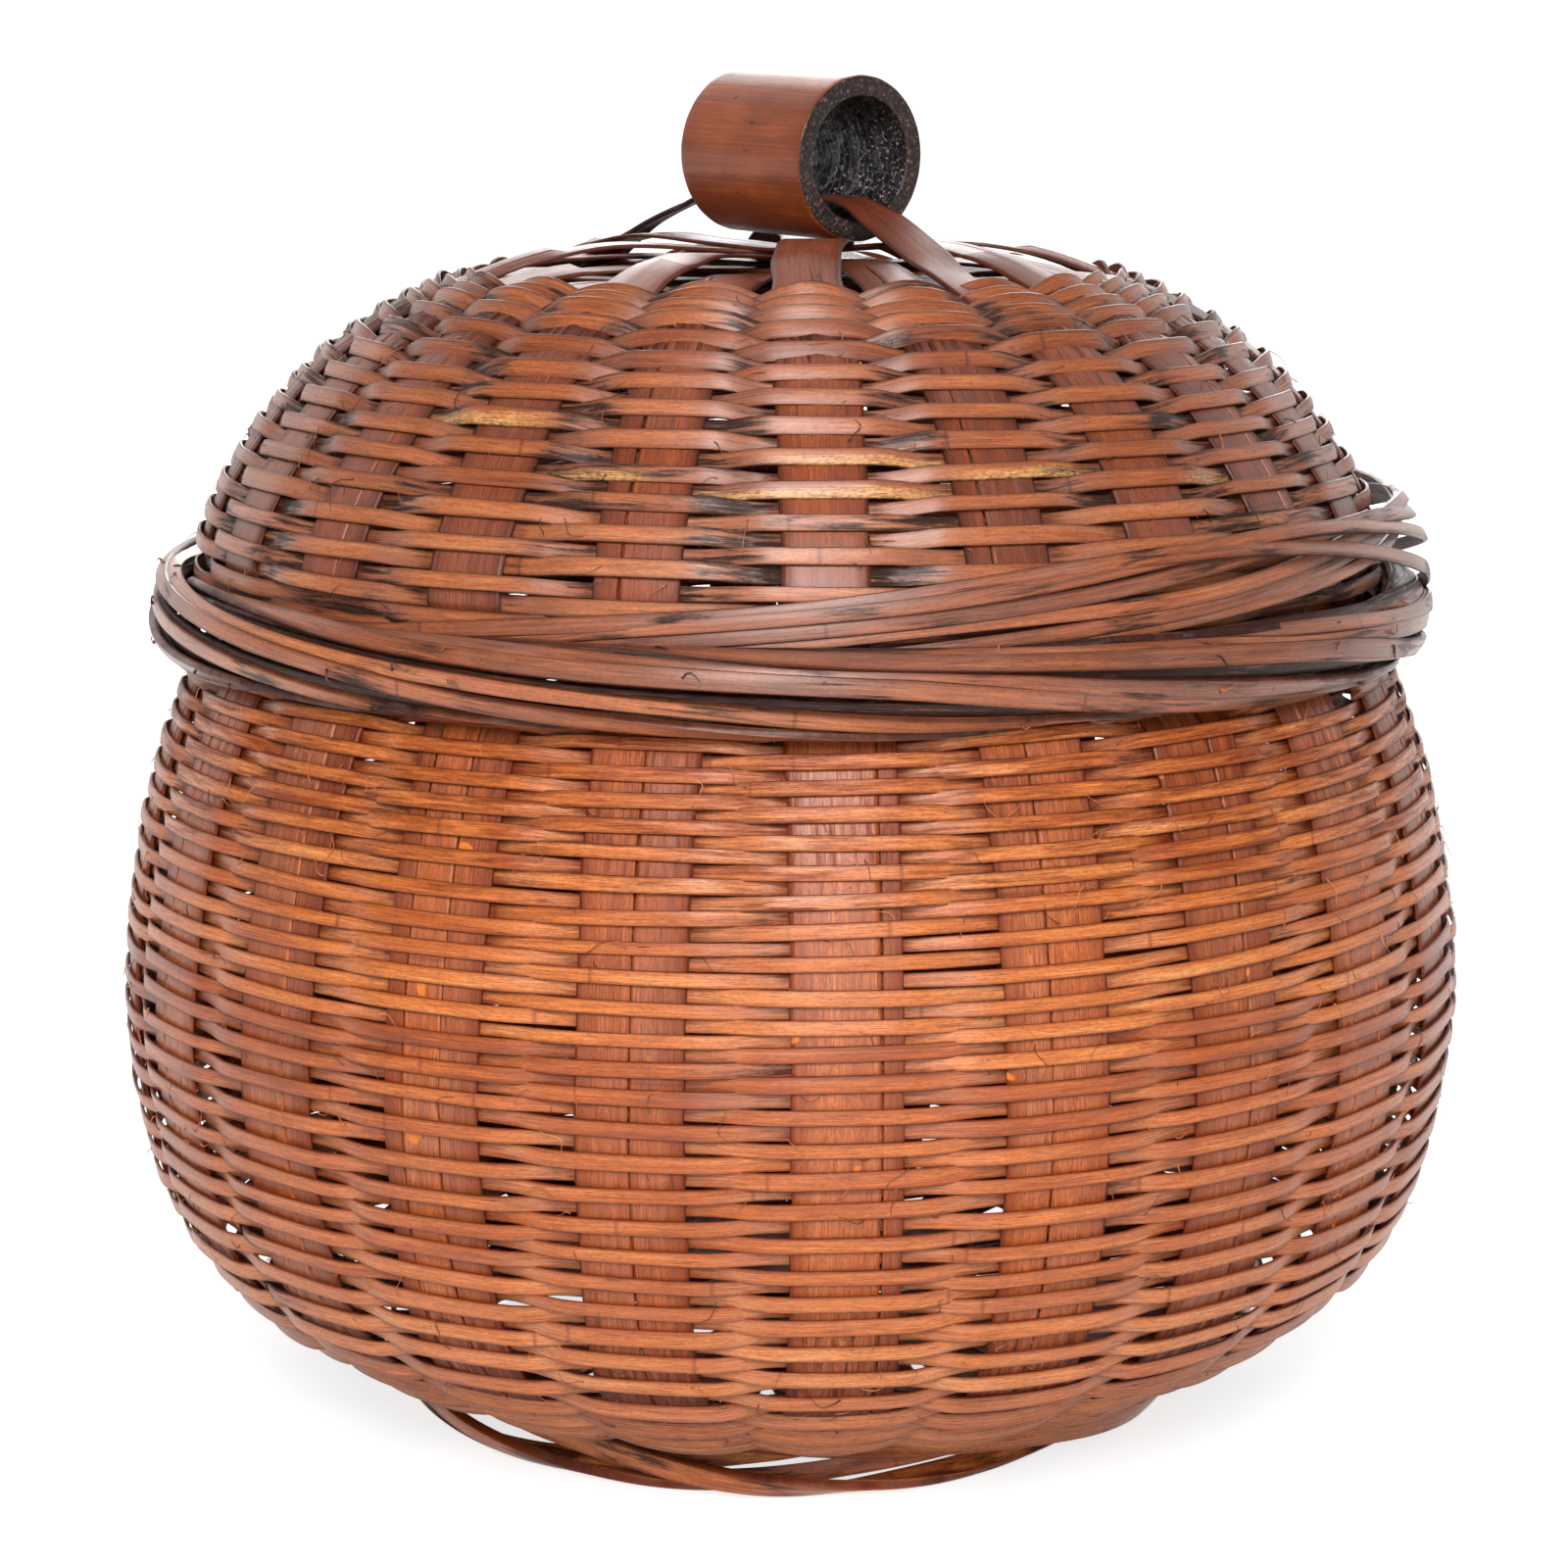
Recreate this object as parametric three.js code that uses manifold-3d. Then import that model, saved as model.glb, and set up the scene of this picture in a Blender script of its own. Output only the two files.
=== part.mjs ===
// A round lidded basket of split bamboo, woven over flat stakes, with a twisted border and a tube knob.
// Millimetres, +Z up. The origin is on the floor, on the basket's axis, and the front looks along -Y.
// Outlines of the walls run along the middle of the stakes. They are drawn in shares of the collar's
// radius and of the wall's height, so that body and lid keep fitting each other.

import * as THREE from "three";
import { mergeVertices } from "three/addons/utils/BufferGeometryUtils.js";
import Module from "manifold-3d";

// Fits
const touch = 0.3;
const rowSpace = 0.9;
const weaveEase = 0.2;

// Stakes and weavers
const stakeCount = 22;
const stakeThickness = 0.6;
const weaverThickness = 0.8;
const weaverOverhang = 0.5;
const leastWidthShare = 0.72;
const leastPieceShare = 0.3;
const stepsInTwist = 6;

// Body
const collarRadius = 81.2;
const mouthHeight = 126;
const floorHeight = 9.6;
const bodyStakeWidth = 14.5;
const bodyStakeSpace = 4.2;
const bodyRows = 18;
const bodyLengths = 7;
const bodyTurn = 4.2;
const bodyOutline = [
  [0.702, 0],
  [0.813, 0.008],
  [0.936, 0.0585],
  [1.084, 0.156],
  [1.17, 0.283],
  [1.214, 0.491],
  [1.2, 0.676],
  [1.158, 0.842],
  [1.1, 0.969],
  [1.0825, 1],
];
const floorEdge = 7;
const shoulderDrop = 4.2;
const collarDepth = 9.6;
const collarBend = 2.4;
const collarFlare = 1;
const hoopThickness = 1.2;
const hoopHeight = 6.4;

// Foot
const footInset = 2;
const footStrandCount = 3;
const footTwists = 6;
const footStrandWidth = 3.2;
const footStrandThickness = 1.8;
const footHalfWidth = 2.2;
const footCut = 0.3;

// Lid
const lidStakeWidth = 11.5;
const lidStakeSpace = 4.6;
const lidRows = 8;
const lidLengths = 3;
const lidTurn = 3;
const crownRise = 42.3;
const crownEdge = 2.5;
const lidOutline = [
  [0.634, 0.979],
  [0.739, 0.875],
  [0.85, 0.719],
  [0.948, 0.515],
  [1.022, 0.307],
  [1.0665, 0.1],
];
const skirtSpace = 3.4;
const skirtBend = 0.5;
const skirtDrop = 0.7;

// Lid border
const borderSpace = 5.9;
const borderRise = 4.9;
const borderHalfWidth = 3.7;
const borderHalfHeight = 6.6;
const borderStrandCount = 6;
const borderTwists = 5;
const borderStrandWidth = 3.4;
const borderStrandThickness = 1.6;

// Knob and strap
const knobRadius = 12.3;
const knobBore = 8.6;
const knobLength = 26;
const knobChamfer = 0.6;
const knobFacets = 28;
const knobTurn = 40;
const strapWidth = 6.5;
const strapThickness = 0.8;
const strapInset = 6;
const strapFootLength = 6;
const strapOnStrip = 2;

// Worked out from the sizes above
const stakeAngle = (2 * Math.PI) / stakeCount;
const stripCount = stakeCount / 2;
const layer = stakeThickness + touch;
const weaverReach = stakeThickness / 2 + touch + weaveEase + weaverThickness / 2;
const collarFoot = mouthHeight - collarDepth;
const shoulderHeight = collarFoot - shoulderDrop;
const bodyLine = drawn(bodyOutline, floorHeight, shoulderHeight);
const floorReach = bodyLine[0][0] - floorEdge;
const footRadius = bodyLine[0][0] - footInset;
const skirtRadius = collarRadius + skirtSpace;
const skirtFoot = collarFoot - skirtDrop;
const borderRadius = skirtRadius + borderSpace;
const borderHeight = skirtFoot + borderRise;
const crownHeight = mouthHeight + crownRise;
const lidLine = drawn(lidOutline, mouthHeight, crownHeight);
const crownReach = lidLine[0][0] - crownEdge;
const strapReach = crownReach - strapInset;
const crownTop = crownHeight + ((stripCount - 1) / 2) * layer + stakeThickness / 2;
const knobHeight = crownTop + touch + knobRadius;
const mouthHoopHeight = mouthHeight - touch - hoopHeight / 2;

// An outline in shares, as [radius, height] pairs between two heights.
function drawn(outline, foot, top) {
  return outline.map(([across, up]) => [across * collarRadius, foot + up * (top - foot)]);
}

const wasm = await Module();
wasm.setup();

const colours = {
  stake: { color: 0xa5532a, roughness: 0.5 },
  weaver: { color: 0xb3592b, roughness: 0.45 },
  lidStake: { color: 0x8f4428, roughness: 0.5 },
  lidWeaver: { color: 0x8c452c, roughness: 0.45 },
  border: { color: 0x6b3626, roughness: 0.5 },
  knob: { color: 0x8a4526, roughness: 0.4 },
};

const group = new THREE.Group();
group.name = "lidded_bamboo_basket";

function place(name, geometry, look, parent = group) {
  const mesh = new THREE.Mesh(geometry, new THREE.MeshStandardMaterial({ ...look, metalness: 0 }));
  mesh.name = name;
  parent.add(mesh);
  return mesh;
}

// A point at a radius and height, in the upright plane that stands at an angle round the axis.
function around(radius, height, angle) {
  return new THREE.Vector3(radius * Math.cos(angle), radius * Math.sin(angle), height);
}

function sidewaysAt(angle) {
  return new THREE.Vector3(-Math.sin(angle), Math.cos(angle), 0);
}

// Six times the volume inside a list of triangles, negative when they face inwards.
function signedVolume(points, faces) {
  let sum = 0;
  for (let k = 0; k < faces.length; k += 3) {
    const cross = new THREE.Vector3().crossVectors(points[faces[k + 1]], points[faces[k + 2]]);
    sum += points[faces[k]].dot(cross);
  }
  return sum;
}

// Joins sections of equal size into one closed solid, as a ring or with flat ends.
function sweep(sections, closed = false) {
  const sides = sections[0].length;
  const points = sections.flat();
  const faces = [];
  const spans = closed ? sections.length : sections.length - 1;
  for (let k = 0; k < spans; k++) {
    const here = k * sides;
    const next = ((k + 1) % sections.length) * sides;
    for (let side = 0; side < sides; side++) {
      const after = (side + 1) % sides;
      faces.push(here + side, next + side, next + after);
      faces.push(here + side, next + after, here + after);
    }
  }
  if (!closed) {
    const end = points.length - sides;
    for (let side = 1; side < sides - 1; side++) {
      faces.push(0, side, side + 1);
      faces.push(end, end + side + 1, end + side);
    }
  }
  if (signedVolume(points, faces) < 0) {
    faces.reverse();
  }
  const geometry = new THREE.BufferGeometry().setFromPoints(points);
  geometry.setIndex(faces);
  geometry.computeVertexNormals();
  return geometry;
}

// A rectangle round a centre, from half its long side and half its short side as vectors.
function rectangle(centre, half, thin) {
  return [
    centre.clone().add(half).add(thin),
    centre.clone().sub(half).add(thin),
    centre.clone().sub(half).sub(thin),
    centre.clone().add(half).sub(thin),
  ];
}

// The woven part of a wall: its curve, and the height of a row measured along it.
function wallFrom(outline, rows, turn, stakeWidth, stakeSpace) {
  const curve = new THREE.SplineCurve(outline.map(([radius, height]) => new THREE.Vector2(radius, height)));
  const length = curve.getLength();
  return { curve, length, rows, turn, stakeWidth, stakeSpace, pitch: length / (rows + 1) };
}

function stakeDirection(wall, stake) {
  return THREE.MathUtils.degToRad(wall.turn - 90) + stake * stakeAngle;
}

// Stakes narrow towards the middle, so that the weavers can pass between them.
function stakeWidthAt(wall, radius) {
  const room = Math.abs(radius) * stakeAngle - wall.stakeSpace;
  return THREE.MathUtils.clamp(room, wall.stakeWidth * leastWidthShare, wall.stakeWidth);
}

// How far up the wall the rows lie at a stake, because each weaver climbs two rows in a turn.
function climbAt(stake) {
  return ((2 * stake) / stakeCount) % 1;
}

// The woven stretch of a stake: straight pieces that each carry two rows.
function stakeLine(wall, stake) {
  const line = [];
  const add = (along) => {
    const point = wall.curve.getPointAt(along / wall.length);
    line.push({ along, point });
  };
  if (climbAt(stake) > leastPieceShare) {
    add(0);
  }
  for (let row = 0; row <= wall.rows; row += 2) {
    add((row + climbAt(stake)) * wall.pitch);
  }
  if (climbAt(stake) > 1 - leastPieceShare) {
    line.pop();
  }
  add(wall.length);
  return line;
}

// The middle of a stake's thickness at a distance along the wall, with its directions up and out.
function onStake(wall, stake, along) {
  const line = stakeLine(wall, stake);
  let end = line.findIndex((vertex) => vertex.along > along);
  if (end < 1) {
    end = end === 0 ? 1 : line.length - 1;
  }
  const low = line[end - 1];
  const high = line[end];
  const part = (along - low.along) / (high.along - low.along);
  const middle = low.point.clone().lerp(high.point, part);
  const rise = high.point.clone().sub(low.point).normalize();
  const angle = stakeDirection(wall, stake);
  const up = around(rise.x, rise.y, angle);
  const side = sidewaysAt(angle);
  const out = new THREE.Vector3().crossVectors(side, up).normalize();
  return { centre: around(middle.x, middle.y, angle), up, side, out, halfWidth: stakeWidthAt(wall, middle.x) / 2 };
}

// The outer corner that a weaver turns round as it leaves a stake that it crosses on the outside.
function outerCorner(at, way) {
  const reach = at.halfWidth + weaverOverhang;
  return at.centre.clone().addScaledVector(at.out, weaverReach).addScaledVector(at.side, way * reach);
}

// How deep a weaver dips behind a stake, so that it clears both edges on its way from the neighbours.
function insideDepth(at, neighbours) {
  const depths = neighbours.map((corner) => {
    const offset = corner.clone().sub(at.centre);
    const across = Math.abs(offset.dot(at.side));
    const above = offset.dot(at.out);
    const share = (across - at.halfWidth) / across;
    return (weaverReach + above * (1 - share)) / share;
  });
  return Math.max(weaverReach, ...depths);
}

// One length of weaver, from one crossing behind a stake to another; start 0 passes outside the even
// stakes and start 1 outside the odd ones, half a turn further round.
function weaver(wall, start, from, to) {
  const half = (wall.pitch - rowSpace) / 2;
  const stakeOf = (step) => ((step % stakeCount) + stakeCount) % stakeCount;
  const spot = (step) => onStake(wall, stakeOf(step), wall.pitch * ((2 * step) / stakeCount + 0.5 + start));
  const section = (at, centre) =>
    rectangle(centre, at.up.clone().multiplyScalar(half), at.out.clone().multiplyScalar(weaverThickness / 2));
  const sections = [];
  for (let step = from; step <= to; step++) {
    const at = spot(step);
    if (stakeOf(step) % 2 === start) {
      sections.push(section(at, outerCorner(at, -1)));
      sections.push(section(at, outerCorner(at, 1)));
    } else {
      const neighbours = [outerCorner(spot(step - 1), 1), outerCorner(spot(step + 1), -1)];
      const centre = at.centre.clone().addScaledVector(at.out, -insideDepth(at, neighbours));
      if (step === from) {
        centre.addScaledVector(at.side, touch);
      }
      if (step === to) {
        centre.addScaledVector(at.side, -touch);
      }
      sections.push(section(at, centre));
    }
  }
  return sweep(sections);
}

// Cuts both weavers of a wall into equal lengths, each one a piece that starts and ends behind a stake.
function weave(wall, name, lengths, look) {
  let number = 1;
  for (const start of [0, 1]) {
    const first = start === 0 ? 1 : 2 - stakeCount / 2 - 1;
    const last = (stakeCount / 2) * wall.rows - 1 - start * (stakeCount / 2);
    for (let part = 0; part < lengths; part++) {
      const cut = (share) => first + 2 * Math.round(((last - first) * share) / lengths / 2);
      place(`${name}_${number}`, weaver(wall, start, cut(part), cut(part + 1)), look);
      number += 1;
    }
  }
}

// A flat strip bent along [distance from the axis, height] points in one upright plane.
function bentStrip(line, angle, widthAt, thickness) {
  const side = sidewaysAt(angle);
  const sections = line.map(([radius, height], k) => {
    const before = line[Math.max(k - 1, 0)];
    const after = line[Math.min(k + 1, line.length - 1)];
    const coming = new THREE.Vector2(radius - before[0], height - before[1]);
    const going = new THREE.Vector2(after[0] - radius, after[1] - height);
    const first = coming.lengthSq() > 0 ? coming.normalize() : going.clone().normalize();
    const second = going.lengthSq() > 0 ? going.normalize() : first;
    const along = first.clone().add(second).normalize();
    const mitre = thickness / 2 / along.dot(second);
    const thin = around(-along.y * mitre, along.x * mitre, angle);
    return rectangle(around(radius, height, angle), side.clone().multiplyScalar(widthAt(radius) / 2), thin);
  });
  return sweep(sections);
}

// Strips that cross in the middle lie in layers, which flatten out where they part from each other.
const crossing = [
  [0.3, 1],
  [0.75, 0.35],
  [1, 0],
];

function layerOf(strip) {
  return (((4 * strip) % stripCount) - (stripCount - 1) / 2) * layer;
}

function crossingLine(reach, height, strip) {
  return crossing.map(([part, lift]) => [reach * part, height + layerOf(strip) * lift]);
}

// The height of a crossed strip's upper face on the outermost of its straight pieces.
function crossedTop(reach, height, strip, radius) {
  const [inner, outer] = crossingLine(reach, height, strip).slice(-2);
  return THREE.MathUtils.mapLinear(radius, inner[0], outer[0], inner[1], outer[1]) + stakeThickness / 2;
}

// One strip: up one side of the wall as a stake, over the middle, and down the other side.
function stakeStrip(wall, strip, middle, rim) {
  const sideLine = (stake) => {
    const woven = stakeLine(wall, stake).map(({ point }) => [point.x, point.y]);
    return [...middle, ...woven, ...rim];
  };
  const near = sideLine(strip);
  const far = sideLine(strip + stripCount).map(([radius, height]) => [-radius, height]);
  const widthAt = (radius) => stakeWidthAt(wall, radius);
  return bentStrip([...far.reverse(), ...near], stakeDirection(wall, strip), widthAt, stakeThickness);
}

// Strands that wind round each other along a ring: each one circles the ring's middle line, and the
// first starts at the top.
function twistedStrand(ring, strand) {
  const sections = [];
  const count = ring.twists * stepsInTwist;
  for (let k = 0; k < count; k++) {
    const angle = (2 * Math.PI * k) / count;
    const phase = Math.PI / 2 + ring.twists * angle + (2 * Math.PI * strand) / ring.strands;
    const centre = around(
      ring.radius + ring.halfWidth * Math.cos(phase),
      ring.height + ring.halfHeight * Math.sin(phase),
      angle,
    );
    const outward = new THREE.Vector2(Math.cos(phase) / ring.halfWidth, Math.sin(phase) / ring.halfHeight);
    outward.normalize();
    const thin = around(outward.x, outward.y, angle).sub(around(0, 0, angle));
    const along = around(-outward.y, outward.x, angle).sub(around(0, 0, angle));
    sections.push(
      rectangle(centre, along.multiplyScalar(ring.strandWidth / 2), thin.multiplyScalar(ring.strandThickness / 2)),
    );
  }
  return sweep(sections, true);
}

function toSolid(geometry) {
  const bare = geometry.clone();
  bare.deleteAttribute("normal");
  bare.deleteAttribute("uv");
  const merged = mergeVertices(bare, 1e-4);
  return new wasm.Manifold(
    new wasm.Mesh({
      numProp: 3,
      vertProperties: new Float32Array(merged.attributes.position.array),
      triVerts: new Uint32Array(merged.index.array),
    }),
  );
}

function toGeometry(solid) {
  const mesh = solid.getMesh();
  const geometry = new THREE.BufferGeometry();
  geometry.setAttribute("position", new THREE.BufferAttribute(new Float32Array(mesh.vertProperties), 3));
  geometry.setIndex(new THREE.BufferAttribute(new Uint32Array(mesh.triVerts), 1));
  geometry.computeVertexNormals();
  return geometry;
}

// Body: crossed strips that turn up as stakes and end in the collar.
const bodyWall = wallFrom(bodyLine, bodyRows, bodyTurn, bodyStakeWidth, bodyStakeSpace);
const collar = [
  [collarRadius + collarFlare, collarFoot],
  [collarRadius, collarFoot + collarBend],
  [collarRadius, mouthHeight],
];
for (let strip = 0; strip < stripCount; strip++) {
  const middle = crossingLine(floorReach, floorHeight, strip);
  place(`body_stake_strip_${strip + 1}`, stakeStrip(bodyWall, strip, middle, collar), colours.stake);
}
weave(bodyWall, "body_weaver", bodyLengths, colours.weaver);

// Two flat hoops hold the stake ends at the mouth, one outside and one inside.
function mouthHoop(radius) {
  const sections = [];
  const corner = radius / Math.cos(stakeAngle / 2);
  for (let stake = 0; stake < stakeCount; stake++) {
    const angle = stakeDirection(bodyWall, stake) + stakeAngle / 2;
    const up = new THREE.Vector3(0, 0, hoopHeight / 2);
    sections.push(rectangle(around(corner, mouthHoopHeight, angle), up, around(hoopThickness / 2, 0, angle)));
  }
  return sweep(sections, true);
}

const hoopReach = stakeThickness / 2 + touch + hoopThickness / 2;
place("mouth_hoop_outer", mouthHoop(collarRadius + hoopReach), colours.border);
place("mouth_hoop_inner", mouthHoop(collarRadius - hoopReach), colours.border);

// Foot: strands twisted into a low ring, trimmed flat where they stand.
const footTop = floorHeight - stakeThickness / 2 - touch;
const footHalfHeight = (footTop + footCut - footStrandThickness) / 2;
const footRing = {
  radius: footRadius,
  height: footHalfHeight + footStrandThickness / 2 - footCut,
  halfWidth: footHalfWidth,
  halfHeight: footHalfHeight,
  strands: footStrandCount,
  twists: footTwists,
  strandWidth: footStrandWidth,
  strandThickness: footStrandThickness,
};
const trimHeight = 4;
const trimBox = new THREE.BoxGeometry(3 * footRadius, 3 * footRadius, trimHeight);
trimBox.translate(0, 0, -trimHeight / 2);
const trim = toSolid(trimBox);
for (let strand = 0; strand < footStrandCount; strand++) {
  const trimmed = toSolid(twistedStrand(footRing, strand)).subtract(trim);
  place(`foot_strand_${strand + 1}`, toGeometry(trimmed), colours.border);
}

// Lid: strips crossed over the crown, which run down as stakes and stand on the body's shoulder.
const lidWall = wallFrom(lidLine, lidRows, lidTurn, lidStakeWidth, lidStakeSpace);
const skirt = [
  [skirtRadius, mouthHeight + skirtBend],
  [skirtRadius, skirtFoot],
];
for (let strip = 0; strip < stripCount; strip++) {
  const middle = crossingLine(crownReach, crownHeight, strip);
  place(`lid_stake_strip_${strip + 1}`, stakeStrip(lidWall, strip, middle, skirt), colours.lidStake);
}
weave(lidWall, "lid_weaver", lidLengths, colours.lidWeaver);

const borderRing = {
  radius: borderRadius,
  height: borderHeight,
  halfWidth: borderHalfWidth,
  halfHeight: borderHalfHeight,
  strands: borderStrandCount,
  twists: borderTwists,
  strandWidth: borderStrandWidth,
  strandThickness: borderStrandThickness,
};
for (let strand = 0; strand < borderStrandCount; strand++) {
  place(`lid_border_strand_${strand + 1}`, twistedStrand(borderRing, strand), colours.border);
}

// Knob: a short length of bamboo stem on its side, held by a flat strap through its bore.
const knobEnd = knobLength / 2;
const knobOutline = [
  [knobBore, -knobEnd],
  [knobRadius - knobChamfer, -knobEnd],
  [knobRadius, knobChamfer - knobEnd],
  [knobRadius, knobEnd - knobChamfer],
  [knobRadius - knobChamfer, knobEnd],
  [knobBore, knobEnd],
  [knobBore, -knobEnd],
].map(([radius, along]) => new THREE.Vector2(radius, along));
const knobPlace = new THREE.Group();
knobPlace.rotation.z = THREE.MathUtils.degToRad(knobTurn);
knobPlace.position.z = knobHeight;
group.add(knobPlace);
place("knob_tube", new THREE.LatheGeometry(knobOutline, knobFacets), colours.knob, knobPlace);

const strapLow = knobHeight - Math.sqrt((knobBore - touch) ** 2 - (strapWidth / 2) ** 2) + strapThickness / 2;
const strapAngle = THREE.MathUtils.degToRad(knobTurn - 90);
const strapSide = [strapReach, strapReach - strapFootLength].map((radius) => {
  const top = crossedTop(crownReach, crownHeight, strapOnStrip, radius);
  return [radius, top + touch + strapThickness / 2];
});
strapSide.push([knobEnd, strapLow]);
const strapLine = [...strapSide.map(([radius, height]) => [-radius, height]), ...strapSide.reverse()];
place("knob_strap", bentStrip(strapLine, strapAngle, () => strapWidth, strapThickness), colours.border);

export default group;
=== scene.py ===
import math

import bpy
import numpy as np
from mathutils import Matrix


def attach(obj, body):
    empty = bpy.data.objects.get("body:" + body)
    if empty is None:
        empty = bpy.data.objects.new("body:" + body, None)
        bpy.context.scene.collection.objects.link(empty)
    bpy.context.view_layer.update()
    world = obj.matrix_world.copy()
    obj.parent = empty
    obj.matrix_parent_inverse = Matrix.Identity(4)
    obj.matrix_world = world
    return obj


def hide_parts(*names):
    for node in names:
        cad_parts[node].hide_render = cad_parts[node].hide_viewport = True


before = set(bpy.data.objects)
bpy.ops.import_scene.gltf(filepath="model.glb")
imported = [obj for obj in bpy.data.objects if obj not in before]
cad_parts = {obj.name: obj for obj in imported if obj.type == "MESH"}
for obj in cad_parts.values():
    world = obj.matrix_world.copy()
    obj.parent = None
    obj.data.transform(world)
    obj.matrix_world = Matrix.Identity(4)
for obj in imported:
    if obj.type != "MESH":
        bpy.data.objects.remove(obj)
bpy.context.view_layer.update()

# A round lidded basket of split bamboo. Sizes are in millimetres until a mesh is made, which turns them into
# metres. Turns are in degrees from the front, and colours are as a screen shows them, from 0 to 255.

mm = 0.001
stakeCount = 22
stripCount = stakeCount // 2  # each strip turns up as two stakes
stakeAngle = 2 * math.pi / stakeCount
vertical = np.array([0, 0, 1.0])
print("frame loaded")


# Numbers and curves

def sineSum(phases):
    # the sum of the sines along the last axis, scaled to lie mostly between -1 and 1
    return np.sin(phases).sum(-1) / math.sqrt(phases.shape[-1] / 2) / 1.6


chance = np.random.default_rng


def ripple(x, seed, low, high, count=6):
    # sines of random wavelength and phase added up; low and high are in waves per unit of x
    dice = chance(seed)
    rates = dice.uniform(low, high, count)
    phases = dice.uniform(0, 2 * math.pi, count)
    return sineSum(2 * math.pi * rates * np.asarray(x)[..., None] + phases)


def drift(angle, row, seed):
    # a smooth field over the wall: sines with whole waves round the ring and any number up the rows
    dice = chance(seed)
    count = 9
    turns = dice.integers(1, 6, count) * dice.choice([-1, 1], count)
    climbs = dice.uniform(0.02, 0.12, count)
    phases = dice.uniform(0, 2 * math.pi, count)
    return sineSum(turns * angle[..., None] + 2 * math.pi * climbs * row[..., None] + phases)


def runOf(points):
    # the distance along a line to each of its points
    return np.concatenate([[0], np.cumsum(np.linalg.norm(np.diff(points, axis=0), axis=1))])


def smoothLine(points, spacing):
    # a cubic spline through the points at an even spacing: distances, places and directions
    p = np.asarray(points, float)
    p = np.vstack([2 * p[0] - p[1], p, 2 * p[-1] - p[-2]])
    a, b, c, d = p[:-3, None], p[1:-2, None], p[2:-1, None], p[3:, None]
    t = np.linspace(0, 1, 24, endpoint=False)[None, :, None]
    square, cube = 2 * a - 5 * b + 4 * c - d, 3 * b - a - 3 * c + d
    line = 0.5 * (2 * b + (c - a) * t + square * t**2 + cube * t**3)
    line = np.vstack([line.reshape(-1, p.shape[1]), p[-2]])
    length = runOf(line)
    along = np.linspace(0, length[-1], max(3, int(round(length[-1] / spacing)) + 1))
    even = np.stack([np.interp(along, length, values) for values in line.T], 1)
    return along, even, unit(np.gradient(even, along, axis=0))


def unit(v):
    return v / np.linalg.norm(v, axis=-1, keepdims=True)


def ease(x):
    # from 0 to 1 along 3 x^2 - 2 x^3
    x = np.clip(x, 0, 1)
    return x * x * (3 - 2 * x)


def bell(x):
    return np.exp(-(x**2))


def ringPoint(radius, height, angle):
    return np.stack([radius * np.cos(angle), radius * np.sin(angle), height + 0 * angle], -1)


def spoke(angle):
    # the direction outwards at an angle round the basket
    return ringPoint(1.0, 0.0, angle)


def inPlane(spin, outwards, upwards):
    # a vector in the upright plane of a spoke
    return outwards[:, None] * spin + upwards[:, None] * vertical


# Meshes

def makeObject(name, vertices, quads, facets, finish, caps=np.zeros((0, 4), int)):
    # vertices in millimetres, quads and caps as rows of corner numbers, facets as values kept on the points
    mesh = bpy.data.meshes.new(name)
    mesh.vertices.add(len(vertices))
    mesh.vertices.foreach_set("co", (vertices * mm).astype(np.float32).ravel())
    corners = np.concatenate([quads.ravel(), caps.ravel()])
    sizes = np.repeat([4, caps.shape[1]], [len(quads), len(caps)])
    mesh.loops.add(len(corners))
    mesh.loops.foreach_set("vertex_index", corners.astype(np.int32))
    mesh.polygons.add(len(sizes))
    mesh.polygons.foreach_set("loop_start", np.concatenate([[0], np.cumsum(sizes)[:-1]]).astype(np.int32))
    mesh.polygons.foreach_set("use_smooth", np.full(len(sizes), True))
    mesh.update(calc_edges=True)
    for key, values in facets.items():
        kind, field = ("FLOAT_VECTOR", "vector") if values.ndim == 2 else ("FLOAT", "value")
        spot = mesh.attributes.new(key, kind, "POINT")
        spot.data.foreach_set(field, values.astype(np.float32).ravel())
    piece = bpy.data.objects.new(name, mesh)
    bpy.context.scene.collection.objects.link(piece)
    mesh.materials.append(finish)
    return piece


def crease(piece, sides, corners):
    # keeps the long edges of a strip crisp: those that join two sections at the same corner
    mesh = piece.data
    ends = np.empty(2 * len(mesh.edges), np.int32)
    mesh.edges.foreach_get("vertices", ends)
    corner = ends.reshape(-1, 2) % sides
    crisp = (corner[:, 0] == corner[:, 1]) & np.isin(corner[:, 0], corners)
    mesh.attributes.new("sharp_edge", "BOOLEAN", "EDGE").data.foreach_set("value", crisp)


def endFlags(number):
    # which samples are the first and which the last of their strip
    change = number[1:] != number[:-1]
    return np.concatenate([[True], change]), np.concatenate([change, [True]])


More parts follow.
